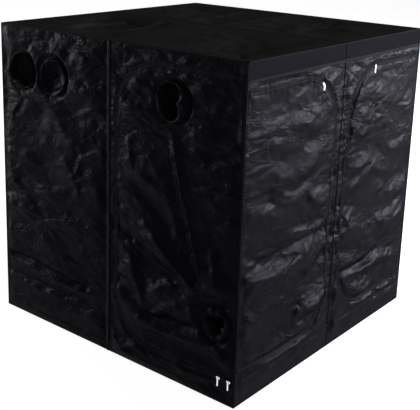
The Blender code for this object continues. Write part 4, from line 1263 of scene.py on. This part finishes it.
def strip(name, face, path, section, body, kind, wobble=0.0):
    """A tape of that section along a path on a wall. wobble is how far its height wanders."""
    offsets, lifts = np.array(section).T
    across, up = len(path) - 1, len(section) - 1
    piece = add_grid(name, across, up)
    row, column = grid_places(piece, across, up)
    offset, lift = offsets[column], lifts[column]
    u = path[row, 0] + offset * path[row, 2]
    v = path[row, 1] + offset * path[row, 3]
    if wobble:
        lift = lift + wobble * (0.5 + 0.5 * soft_noise(u, v, 0.012, 3)) * np.abs(np.sin(row * 1.3))
    length = np.concatenate([[0], np.cumsum(np.hypot(*np.diff(path[:, :2], axis=0).T))])
    one_side = offsets.min() >= 0 or offsets.max() <= 0
    set_uv(piece, length[row], offset - offsets.min() if one_side else offset)
    move_points(piece, stand(face, u, v, lift_at(face, u, v) + lift))
    facing_out(piece)
    finish_piece(piece, body, "black_fabric", kind)
    thicken(piece, TAPE_THICKNESS)
    return piece


def coil(name, face, path, body):
    """The closed zip coil: a ribbed bead along the path."""
    across, sides = len(path) - 1, 6
    piece = add_grid(name, across, sides)
    row, column = grid_places(piece, across, sides)
    angle = 2 * np.pi * column / sides
    radius = COIL_RADIUS * np.where(row % 2 == 0, 1.0, 0.8)
    offset = radius * np.cos(angle)
    u = path[row, 0] + offset * path[row, 2]
    v = path[row, 1] + offset * path[row, 3]
    centre = lift_at(face, path[row, 0], path[row, 1]) - 0.0005
    set_uv(piece, row * 0.002, column * 0.002)
    move_points(piece, stand(face, u, v, centre + 0.85 * radius * np.sin(angle)))
    start_edit(piece)
    bpy.ops.mesh.remove_doubles(threshold=MERGE)
    bpy.ops.mesh.select_all(action="DESELECT")
    bpy.ops.mesh.select_non_manifold()
    bpy.ops.mesh.fill_holes(sides=sides)
    bpy.ops.mesh.select_all(action="SELECT")
    bpy.ops.mesh.normals_make_consistent(inside=False)
    bpy.ops.object.mode_set(mode="OBJECT")
    finish_piece(piece, body, "zip_coil", "coil", angle=30.0)
    return piece


def welt(name, face, start, end, scale=1.0):
    """A raised seam along a line of a wall."""
    return strip(name, face, line_path(start, end), np.array(WELT) * scale, "tent", "seam", 0.0006)


def hem(name, face, low, high, section=HEM, level=HEM_LEVEL):
    """The hem along the ground, from low to high."""
    return strip(name, face, line_path((low, level), (high, level)), section, "tent", "hem")


class TENT_OT_front(bpy.types.Operator):
    """Make the front wall: two panels round the doors, the header band and its seams"""

    bl_idname = "tent.make_front"
    bl_label = "Front wall"

    def execute(self, context):
        pitch = context.scene.tent_cloth.pitch
        seams = [welt("front_mid_seam", FRONT, (0, SEAM_END), (0, HEADER_LOW))]
        for door, low, high in ((LEFT_DOOR, -HALF, 0.0), (RIGHT_DOOR, 0.0, HALF)):
            made = wall_cloth(
                door.panel, FRONT, (low, 0.0), (high, HEADER_LOW),
                lambda u, v, door=door: -hole_gap(door, u, v), pitch, door.panel.replace("panel", "wall"),
                "tent", "hung", ["top_rail_front"], cut=(FRONT_STRIPS, HEADER_LOW),
            )
            hem_name = door.panel.replace("panel", "hem")
            sewn_on = [hem(hem_name, FRONT, low, high, FRONT_HEM, FRONT_HEM_LEVEL)]
        # The header band takes the paler cloth, whose extra lightness is a painted sheen.
        band = wall_cloth(
            "front_band", FRONT, (-HALF, HEADER_LOW), (HALF, HEIGHT), None, pitch, "front_header",
            "tent", "stretched", ["top_rail_front"], kind="band",
        )
        path = line_path((-HALF + 0.001, HEADER_LOW), (HALF - 0.001, HEADER_LOW))
        piping = strip("front_band_seam", FRONT, path, PIPING, "tent", "seam", 0.0004)
        band_seam = welt("front_band_mid_seam", FRONT, (0, HEADER_LOW), (0, HEIGHT - SEAM_END), 0.8)
        return {"FINISHED"}


class TENT_OT_sides(bpy.types.Operator):
    """Make the left wall round its door, the right wall and the back wall with its vent window"""

    bl_idname = "tent.make_sides"
    bl_label = "Side and back walls"

    def execute(self, context):
        cloth = context.scene.tent_cloth
        made = wall_cloth(
            "side_panel_back", LEFT, (-HALF, 0.0), (0.0, HEIGHT),
            lambda u, v: np.maximum(-port_gap(PORTS[0], u, v), -port_gap(PORTS[1], u, v)), cloth.pitch,
            "left_wall_back", "tent", "hung", ["top_rail_left"], area=BACK_HALF_AREA,
        )
        path = line_path((-0.006, SEAM_END), (-0.006, HEIGHT - SEAM_END))
        # This seam's tape is painted light: a painted sheen along the pole sleeve.
        pole_seam = strip("side_mid_seam", LEFT, path, POLE_SEAM, "tent", "bright_seam", 0.0035)
        hem("side_hem_back", LEFT, -HALF, 0.0)
        made = wall_cloth(
            SIDE_DOOR.panel, LEFT, (0.0, 0.0), (HALF, HEIGHT), lambda u, v: -hole_gap(SIDE_DOOR, u, v),
            cloth.pitch, "left_wall_front", "tent", "hung", ["top_rail_left"], cut=(SIDE_STRIPS, HEIGHT),
        )
        hem("side_hem_front", LEFT, 0.0, HALF)
        for face, gap in ((RIGHT, None), (BACK, lambda u, v: -window_gap(u, v))):
            side = face.name
            made = wall_cloth(
                f"{side}_panel", face, (-HALF, 0.0), (HALF, HEIGHT), gap, cloth.coarse_pitch,
                f"{side}_wall", "tent", "hung", [f"top_rail_{side}"],
            )
            welt(f"{side}_mid_seam", face, (0, SEAM_END), (0, HEIGHT - SEAM_END))
            hem(f"{side}_hem", face, -HALF, HALF)
        return {"FINISHED"}


def edge_strip(name, start, end, first, second):
    """A seam along an edge of the box, from one wall to the next, which face first and second."""
    start, end = np.array(start, float), np.array(end, float)
    length = np.linalg.norm(end - start)
    count, up = round(length / 0.012), len(EDGE_SEAM) - 1
    piece = add_grid(name, count, up)
    share, _ = flat_places(piece)
    _, column = grid_places(piece, count, up)
    offset, lift = np.array(EDGE_SEAM)[column].T
    spots = start + np.outer(share, end - start)
    spots -= np.outer(np.maximum(-offset, 0), second) + np.outer(np.maximum(offset, 0), first)
    set_uv(piece, share * length, offset)
    move_points(piece, wrap(spots, lift))
    facing_out(piece)
    finish_piece(piece, "tent", "black_fabric", "seam")
    thicken(piece, TAPE_THICKNESS)
    return piece


class TENT_OT_edges(bpy.types.Operator):
    """Make the seams along the tent's corners and round the roof"""

    bl_idname = "tent.make_edges"
    bl_label = "Corner and roof seams"

    def execute(self, context):
        for name, x, y in (
            ("front_left", -1, -1), ("front_right", 1, -1), ("back_right", 1, 1), ("back_left", -1, 1),
        ):
            low, high = (x * HALF, y * HALF, SEAM_END), (x * HALF, y * HALF, HEIGHT - SEAM_END)
            edge_strip(f"corner_seam_{name}", low, high, (x, 0, 0), (0, y, 0))
        for face in FACES:
            out = (math.sin(face.turn), -math.cos(face.turn), 0)
            run = (math.cos(face.turn), math.sin(face.turn), 0)
            start = [HALF * side - (HALF - SEAM_END) * along for side, along in zip(out, run)]
            end = [HALF * side + (HALF - SEAM_END) * along for side, along in zip(out, run)]
            start[2] = end[2] = HEIGHT
            edge_strip(f"roof_seam_{face.name}", start, end, out, (0, 0, 1))
        return {"FINISHED"}


# Folds of the roof: height, width of the flank on each side, and the points (x, y) of the crest
ROOF_FOLDS = (
    (-0.02, 0.09, 0.03, ((-0.26, 0.85), (-0.24, 0.59), (-0.36, 0.30))),
    (-0.012, 0.03, 0.03, ((-0.55, -0.55), (-0.72, -0.74), (-0.93, -0.94))),
    (-0.012, 0.05, 0.05, ((0.15, -0.45), (0.55, -0.50), (0.90, -0.42))),
    (0.016, 0.05, 0.05, ((-0.85, 0.60), (-0.50, 0.66), (-0.15, 0.58))),
    (0.013, 0.05, 0.04, ((-0.60, 0.36), (-0.35, 0.32), (-0.10, 0.38))),
    (0.012, 0.05, 0.05, ((0.20, 0.40), (0.55, 0.34), (0.90, 0.44))),
)


def roof_lift(x, y, seed):
    """Height of the roof cloth over its plane: it hangs between the bars, in broad waves and a few folds."""
    gap = np.minimum(np.minimum(HALF - np.abs(x), HALF - np.abs(y)), np.minimum(np.abs(x), np.abs(y)))
    open_share = smooth((gap - 0.016) / 0.3)
    sag = -0.016 * open_share
    waves = 0.014 * soft_noise(x, y, 0.35, seed) + 0.006 * soft_noise(x, y, 0.14, seed + 1)
    folds = sum(fold(x, y, *row) for row in ROOF_FOLDS)
    small = crumple(x, y, busyness(x, y, (), 0.45), seed + 20)
    calm = smooth((gap - 0.012) / 0.08)
    return sag + (waves + small) * calm * (0.3 + 0.7 * open_share) + folds * smooth(gap / 0.05)


class TENT_OT_roof(bpy.types.Operator):
    """Make the roof, its crossed seams and the ground sheet"""

    bl_idname = "tent.make_roof"
    bl_label = "Roof and ground sheet"

    def execute(self, context):
        seed = context.scene.tent_stage.seed + 500
        self.make_roof(seed)
        self.make_ground(context.scene.tent_cloth.coarse_pitch * 1.5, seed + 9)
        return {"FINISHED"}

    def make_roof(self, seed):
        piece = add_cloth_grid("roof_cloth", (-HALF, -HALF), (HALF, HALF), 0.012)
        x, y = flat_places(piece)
        set_uv(piece, x, y)
        move_points(piece, wrap(at_level(x, y, HEIGHT), np.maximum(roof_lift(x, y, seed), -0.03)))
        finish_piece(piece, "tent", "black_fabric", "roof", "lining")
        thicken(piece)
        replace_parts(piece, "roof_sheet")
        seams = [
            self.make_seam("roof_cross_seam_front_back", True, seed),
            self.make_seam("roof_cross_seam_left_right", False, seed),
        ]

    def make_seam(self, name, along_y, seed):
        """A raised seam across the roof, through its middle."""
        width = 0.022
        seam = add_grid(name, 160, 6)
        share, side = flat_places(seam)
        run = (share * 2 - 1) * 0.995
        across = (side - 0.5) * width
        x, y = (across, run) if along_y else (run, across)
        set_uv(seam, run, across)
        rise = 0.0004 + 0.0026 * smooth(1 - np.abs(across) / (width / 2))
        move_points(seam, wrap(at_level(x, y, HEIGHT), roof_lift(x, y, seed) + rise))
        facing_out(seam)
        finish_piece(seam, "tent", "black_fabric", "seam")
        thicken(seam, TAPE_THICKNESS)
        return seam

    def make_ground(self, pitch, seed):
        ground = add_cloth_grid("ground_cloth", (-HALF, -HALF), (HALF, HALF), pitch)
        x, y = flat_places(ground)
        set_uv(ground, x, y)
        open_share = smooth((HALF - np.maximum(np.abs(x), np.abs(y)) - 0.02) / 0.1)
        ripple = -np.abs(0.0012 * soft_noise(x, y, 0.12, seed)) * open_share
        move_points(ground, wrap(at_level(x, y, 0.0), ripple))
        flip(ground)
        finish_piece(ground, "tent", "black_fabric", "tray", "lining")
        thicken(ground)
        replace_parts(ground, "floor_sheet")


class TENT_OT_doors(bpy.types.Operator):
    """Make the two front doors and the side door"""

    bl_idname = "tent.make_doors"
    bl_label = "Doors"

    def execute(self, context):
        pitch = context.scene.tent_cloth.pitch
        for door in DOORS:
            name, face = door.name, door.face
            low_u, high_u = sorted((door.side * door.free, door.side * HINGE_LINE))

            def gap(u, v, door=door):
                out = door_gap(door, u, v)
                for port in PORTS:
                    if port.door is door:
                        out = np.maximum(out, -port_gap(port, u, v))
                return out

            made = wall_cloth(
                f"{name}_cloth", face, (low_u, door.bottom), (high_u, door.top), gap, pitch, name, name,
                "hung", [door.panel], area=(high_u - low_u) * (door.top - door.bottom) * DOOR_SHARE,
            )
            path = door_path(door, grow=0.0, inset=0.003)
            tape = strip(f"{name}_tape_inner", face, path, TAPE_INNER, name, "tape", 0.0006)
            coil_path = door_path(door, grow=0.004, inset=0.01, pitch=0.0024)
            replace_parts(coil(f"{name}_coil", face, coil_path, name), f"{name}_zip")
            strip(f"{name}_tape_outer", face, path, TAPE_OUTER, "tent", "tape", 0.0006)
        return {"FINISHED"}


class Sleeve(NamedTuple):
    """How a sleeve hangs in its port.

    rings are rows of (share of the port's radius, w). squeeze is where it is pressed in: rows of (angle and
    spread in degrees, share of the radius). crumple is the depth of its pleats and folds their number.
    """

    rings: tuple
    squeeze: tuple
    crumple: float
    folds: int
    seed: int


SLEEVES = {
    "duct_sleeve_a": Sleeve(
        ((1.05, 0.0012), (1.04, 0.0024), (1.02, 0.0034), (1.0, 0.009), (0.985, 0.014), (0.96, 0.010),
         (0.94, -0.004), (0.90, -0.018), (0.84, -0.032), (0.80, -0.040)),
        ((-110, 38, 0.34), (150, 30, 0.12)), 0.05, 9, 3,
    ),
    "duct_sleeve_b": Sleeve(
        ((1.05, 0.0012), (1.04, 0.0024), (1.02, 0.0034), (1.0, 0.010), (0.98, 0.015), (0.93, 0.011),
         (0.86, -0.002), (0.70, -0.016), (0.44, -0.026), (0.16, -0.030)),
        ((-60, 40, 0.18), (130, 45, 0.2)), 0.13, 7, 5,
    ),
    "duct_sleeve_c": Sleeve(
        ((1.05, 0.0012), (1.04, 0.0024), (1.025, 0.0034), (1.005, 0.012), (0.98, 0.020), (0.93, 0.018),
         (0.88, 0.004), (0.82, -0.012), (0.74, -0.028), (0.70, -0.038)),
        ((-5, 52, 0.62), (-160, 34, 0.2)), 0.05, 8, 9,
    ),
    "duct_sleeve_d": Sleeve(
        ((1.07, 0.0012), (1.06, 0.0026), (1.03, 0.0034), (0.99, 0.012), (0.93, 0.020), (0.84, 0.017),
         (0.74, 0.004), (0.64, -0.012), (0.56, -0.026), (0.52, -0.036)),
        ((100, 40, 0.36), (-20, 34, 0.3), (-150, 40, 0.3)), 0.16, 7, 14,
    ),
}


class TENT_OT_sleeves(bpy.types.Operator):
    """Make the four duct sleeves, gathered and pushed into their ports"""

    bl_idname = "tent.make_sleeves"
    bl_label = "Duct sleeves"

    def execute(self, context):
        for port in PORTS:
            shape = SLEEVES[port.name]
            rings = np.array(shape.rings)
            steps = len(rings) - 1
            piece = add_grid(f"{port.name}_cloth", 144, 3 * steps)
            around, along = flat_places(piece)
            angle = 2 * np.pi * around
            place = along * steps
            index = np.arange(len(rings))
            radius = np.interp(place, index, rings[:, 0])
            out = np.interp(place, index, rings[:, 1])
            deep = smooth((place - 2.5) / 5.0)
            lip = smooth((place - 2.0) / 1.5)
            turn_u, turn_v = np.cos(angle), np.sin(angle)
            for middle, spread, amount in shape.squeeze:
                turned = angle - math.radians(middle)
                off = np.degrees(np.arctan2(np.sin(turned), np.cos(turned)))
                bulge = np.exp(-(off / spread) ** 2)
                radius = radius - amount * bulge * smooth((place - 2.8) / 3.0)
                out = out + 0.016 * bulge * amount * smooth((place - 2.8) / 2.0)
            rough = soft_noise(turn_u * 2, turn_v * 2 + place * 0.4, 0.6, shape.seed)
            pleats = np.abs(np.sin(shape.folds * angle / 2 + 1.7 * rough + shape.seed)) - 0.5
            radius = radius + shape.crumple * (pleats + 0.8 * rough) * deep
            out = out + (0.35 * shape.crumple * pleats * 0.12 + 0.004 * rough) * lip
            out = out + 0.0016 * soft_noise(turn_u * 6, turn_v * 6 + place, 0.6, shape.seed + 1) * lip
            radius = np.maximum(radius, 0.05)
            u = port.u + port.radius * radius * turn_u
            v = port.v + port.radius * radius * turn_v
            set_uv(piece, around * 0.75, along * 0.2)
            move_points(piece, stand(LEFT, u, v, out))
            start_edit(piece)
            bpy.ops.mesh.remove_doubles(threshold=MERGE)
            bpy.ops.object.mode_set(mode="OBJECT")
            if piece.data.polygons[0].normal.x > 0:
                flip(piece)
            body = port.door.name if port.door else "tent"
            finish_piece(piece, body, "black_fabric", "sleeve", angle=75.0)
            thicken(piece, TAPE_THICKNESS)
            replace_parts(piece, port.name)
        return {"FINISHED"}


class TENT_OT_details(bpy.types.Operator):
    """Make the hook-and-loop tab, the vent's net and flap, and the spill tray"""

    bl_idname = "tent.make_details"
    bl_label = "Tab, vent and tray"

    def execute(self, context):
        self.make_tab()
        self.make_net()
        self.make_flap()
        self.make_tray()
        return {"FINISHED"}

    def make_tab(self):
        tab = add_cloth_grid("tab_cloth", TAB_LOW, TAB_HIGH, 0.003)
        u, v = flat_places(tab)
        set_uv(tab, u - TAB_LOW[0], v - TAB_LOW[1])
        edge = edge_gap(TAB_LOW, TAB_HIGH, u, v)
        move_points(tab, stand(LEFT, u, v, 0.0012 + 0.0022 * smooth(edge / 0.004)))
        facing_out(tab)
        finish_piece(tab, "tent", "webbing", "tab")
        thicken(tab, TAB_THICKNESS)
        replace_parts(tab, "hook_and_loop_tab")

    def make_net(self):
        net = add_cloth_grid("vent_net_cloth", VENT_LOW, VENT_HIGH, 0.01)
        u, v = flat_places(net)
        set_uv(net, u, v)
        move_points(net, stand(BACK, u, v, np.full(len(u), -0.0025)))
        facing_out(net)
        finish_piece(net, "tent", "net", "net")
        thicken(net, TAPE_THICKNESS)
        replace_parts(net, "vent_net")

    def make_flap(self):
        """The flap lies over the back wall's folds, a little puffed up inside its edge."""
        flap = add_cloth_grid("vent_flap_cloth", VENT_LOW, VENT_HIGH, 0.008)
        u, v = flat_places(flap)
        edge = edge_gap(VENT_LOW, VENT_HIGH, u, v)
        puff = 0.0016 + 0.0018 * smooth(edge / 0.05) + 0.0012 * smooth(edge / 0.006)
        puff = puff + 0.0012 * np.abs(soft_noise(u, v, 0.05, 31)) * smooth(edge / 0.03)
        set_uv(flap, u, v)
        move_points(flap, stand(BACK, u, v, puff + np.maximum(lift_at(BACK, u, v), 0.0)))
        facing_out(flap)
        finish_piece(flap, "vent_flap", "black_fabric", "cloth")
        thicken(flap, TAB_THICKNESS)
        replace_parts(flap, "vent_flap")

    def make_tray(self):
        """The tray's floor and its soft walls, as one sheet with its corners folded."""
        low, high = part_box("spill_tray")
        half_x, half_y, floor, top = high[0], high[1], low[2], high[2]
        reach = half_x + (top - floor)
        tray = add_cloth_grid("tray_cloth", (-reach, -reach), (reach, reach), 0.02)
        x, y = flat_places(tray)
        set_uv(tray, x, y)
        over = np.maximum(np.maximum(np.abs(x) - half_x, np.abs(y) - half_y), 0.0)
        inwards = 0.003 + 0.003 * soft_noise(x, y, 0.25, 41) * smooth(over / 0.05)
        across = np.clip(x, -half_x, half_x) - np.where(np.abs(x) > half_x, np.sign(x) * inwards, 0.0)
        along = np.clip(y, -half_y, half_y) - np.where(np.abs(y) > half_y, np.sign(y) * inwards, 0.0)
        lift = floor + 0.0016 + np.minimum(over, top - floor - 0.002)
        move_points(tray, np.stack([across, along, lift], 1))
        finish_piece(tray, "spill_tray", "tray_fabric", "tray", angle=50.0)
        thicken(tray, TRAY_THICKNESS)
        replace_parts(tray, "spill_tray")


# The material of a CAD node, by the first of these words in its name
METAL_PARTS = (
    ("connector", "joints"), ("slider", "pull"), ("pull", "pull"), ("pole", "poles"), ("rail", "poles"),
    ("bar", "poles"),
)


class TENT_OT_metal(bpy.types.Operator):
    """Give the poles, connectors, hanging bars, zip sliders and pulls their finish"""

    bl_idname = "tent.finish_metal"
    bl_label = "Poles and zip metal"

    def execute(self, context):
        for name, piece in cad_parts.items():
            kind = next((kind for word, kind in METAL_PARTS if word in name), "tape")
            for slot in piece.material_slots:
                slot.material = MATERIALS[kind]
        return {"FINISHED"}


def aim(location, target):
    """Turn of a lamp at location that looks at target."""
    direction = Matrix.Translation(target).translation - Matrix.Translation(location).translation
    return direction.to_track_quat("-Z", "Y").to_euler()


def add_lamp(name, location, target, power, size, colour):
    bpy.ops.object.light_add(type="AREA", location=location, rotation=aim(location, target))
    lamp = bpy.context.object
    lamp.name = name
    lamp.data.shape = "RECTANGLE"
    lamp.data.size, lamp.data.size_y = size
    lamp.data.energy = power
    lamp.data.color = colour


# The photograph's camera, solved from the cover's corners: place, heading, tilt and roll in degrees, lens in
# millimetres and the shift of its picture
CAMERA_PLACE = (-4.59, -3.581, 2.756)
CAMERA_TURN = (50.351, -14.515, -1.521)
CAMERA_LENS = 74.69
CAMERA_SHIFT = (0.0541, -0.1702)


class TENT_OT_stage(bpy.types.Operator):
    """Make the floor, the white surroundings, the lamps and the camera"""

    bl_idname = "tent.make_stage"
    bl_label = "Stage"

    def execute(self, context):
        stage = context.scene.tent_stage
        self.add_floor(stage)
        self.add_world(context.scene, stage)
        add_lamp("key_lamp", (9.8, -7.6, 3.3), (0.1, -1, 0.9), stage.key, (5.0, 4.0), (0.93, 0.92, 1.0))
        add_lamp("edge_lamp", (-4.3, 11.6, 2.5), (-1, 0, 1.0), stage.edge, (4.6, 3.8), (0.97, 0.96, 1.0))
        self.add_camera(context)
        return {"FINISHED"}

    def seen_directly(self, tree, strength):
        """strength for rays from the camera and for reflected and transmitted rays, else 0."""
        rays = node(tree, "ShaderNodeLightPath").outputs
        seen = calculated(tree, "MAXIMUM", rays["Is Camera Ray"], rays["Is Glossy Ray"])
        seen = calculated(tree, "MAXIMUM", seen, rays["Is Transmission Ray"])
        return calculated(tree, "MULTIPLY", seen, strength)

    def add_floor(self, stage):
        """A pale floor just under the tent, with a glow that is seen and mirrored but lights nothing."""
        bpy.ops.object.select_all(action="DESELECT")
        bpy.ops.mesh.primitive_plane_add(size=120.0, location=(0, 0, 0))
        floor = bpy.context.object
        floor.name = "floor"
        below = 0.0006
        move_points(floor, points_of(floor) - (0, 0, below))
        made = bpy.data.materials.new("pale_floor")
        made.use_nodes = True
        tree = made.node_tree
        tree.nodes.clear()
        diffuse = set_inputs(node(tree, "ShaderNodeBsdfDiffuse"), Color=(*stage.floor, 1.0))
        glow = node(tree, "ShaderNodeEmission")
        tree.links.new(self.seen_directly(tree, stage.floor_glow), glow.inputs["Strength"])
        both = node(tree, "ShaderNodeAddShader")
        tree.links.new(diffuse.outputs["BSDF"], both.inputs[0])
        tree.links.new(glow.outputs["Emission"], both.inputs[1])
        output = node(tree, "ShaderNodeOutputMaterial")
        tree.links.new(both.outputs["Shader"], output.inputs["Surface"])
        floor.data.materials.append(made)

    def add_world(self, scene, stage):
        """White where it is seen or mirrored, and only as bright as stage.surround on the cloth."""
        world = bpy.data.worlds.new("white_surround")
        world.use_nodes = True
        scene.world = world
        tree = world.node_tree
        background = set_inputs(tree.nodes["Background"], Color=(1, 1, 1, 1))
        seen = self.seen_directly(tree, 1.0 - stage.surround)
        tree.links.new(calculated(tree, "ADD", seen, stage.surround), background.inputs["Strength"])

    def add_camera(self, context):
        heading, tilt, roll = (math.radians(angle) for angle in CAMERA_TURN)
        ahead = math.cos(tilt)
        forward = np.array((math.sin(heading) * ahead, math.cos(heading) * ahead, math.sin(tilt)))
        level = np.cross(forward, (0, 0, 1))
        level /= np.linalg.norm(level)
        down = np.cross(forward, level)
        right = level * math.cos(roll) + down * math.sin(roll)
        under = down * math.cos(roll) - level * math.sin(roll)
        turn = Matrix(np.stack([right, -under, -forward], 1).tolist()).to_euler()
        bpy.ops.object.camera_add(location=CAMERA_PLACE, rotation=turn)
        camera = context.object
        camera.name = "camera"
        camera.data.lens = CAMERA_LENS
        camera.data.sensor_width = 36.0
        camera.data.shift_x, camera.data.shift_y = CAMERA_SHIFT
        camera.data.clip_end = 300.0
        context.scene.camera = camera


class TENT_PT_panel(bpy.types.Panel):
    """The grow tent's tools"""

    bl_idname = "TENT_PT_panel"
    bl_label = "Grow Tent"
    bl_space_type = "VIEW_3D"
    bl_region_type = "UI"
    bl_category = "Grow Tent"

    def draw(self, context):
        scene = context.scene
        for settings in (scene.tent_cloth, scene.tent_colours, scene.tent_stage):
            box = self.layout.box()
            for name in settings.__annotations__:
                box.prop(settings, name)
        for operator in OPERATORS:
            self.layout.operator(operator.bl_idname)


GROUPS = (("tent_cloth", TentCloth), ("tent_colours", TentColours), ("tent_stage", TentStage))
OPERATORS = (
    TENT_OT_settle, TENT_OT_front, TENT_OT_sides, TENT_OT_edges, TENT_OT_roof, TENT_OT_doors,
    TENT_OT_sleeves, TENT_OT_details, TENT_OT_metal, TENT_OT_stage,
)


def register():
    for name, group in GROUPS:
        bpy.utils.register_class(group)
        setattr(bpy.types.Scene, name, PointerProperty(type=group))
    for made in (*OPERATORS, TENT_PT_panel):
        bpy.utils.register_class(made)


def unregister():
    for made in (TENT_PT_panel, *reversed(OPERATORS)):
        bpy.utils.unregister_class(made)
    for name, group in reversed(GROUPS):
        delattr(bpy.types.Scene, name)
        bpy.utils.unregister_class(group)


def main():
    register()
    bpy.context.scene.view_settings.view_transform = "Standard"
    for operator in OPERATORS:
        group, name = operator.bl_idname.split(".")
        getattr(getattr(bpy.ops, group), name)()


if __name__ == "__main__":
    main()
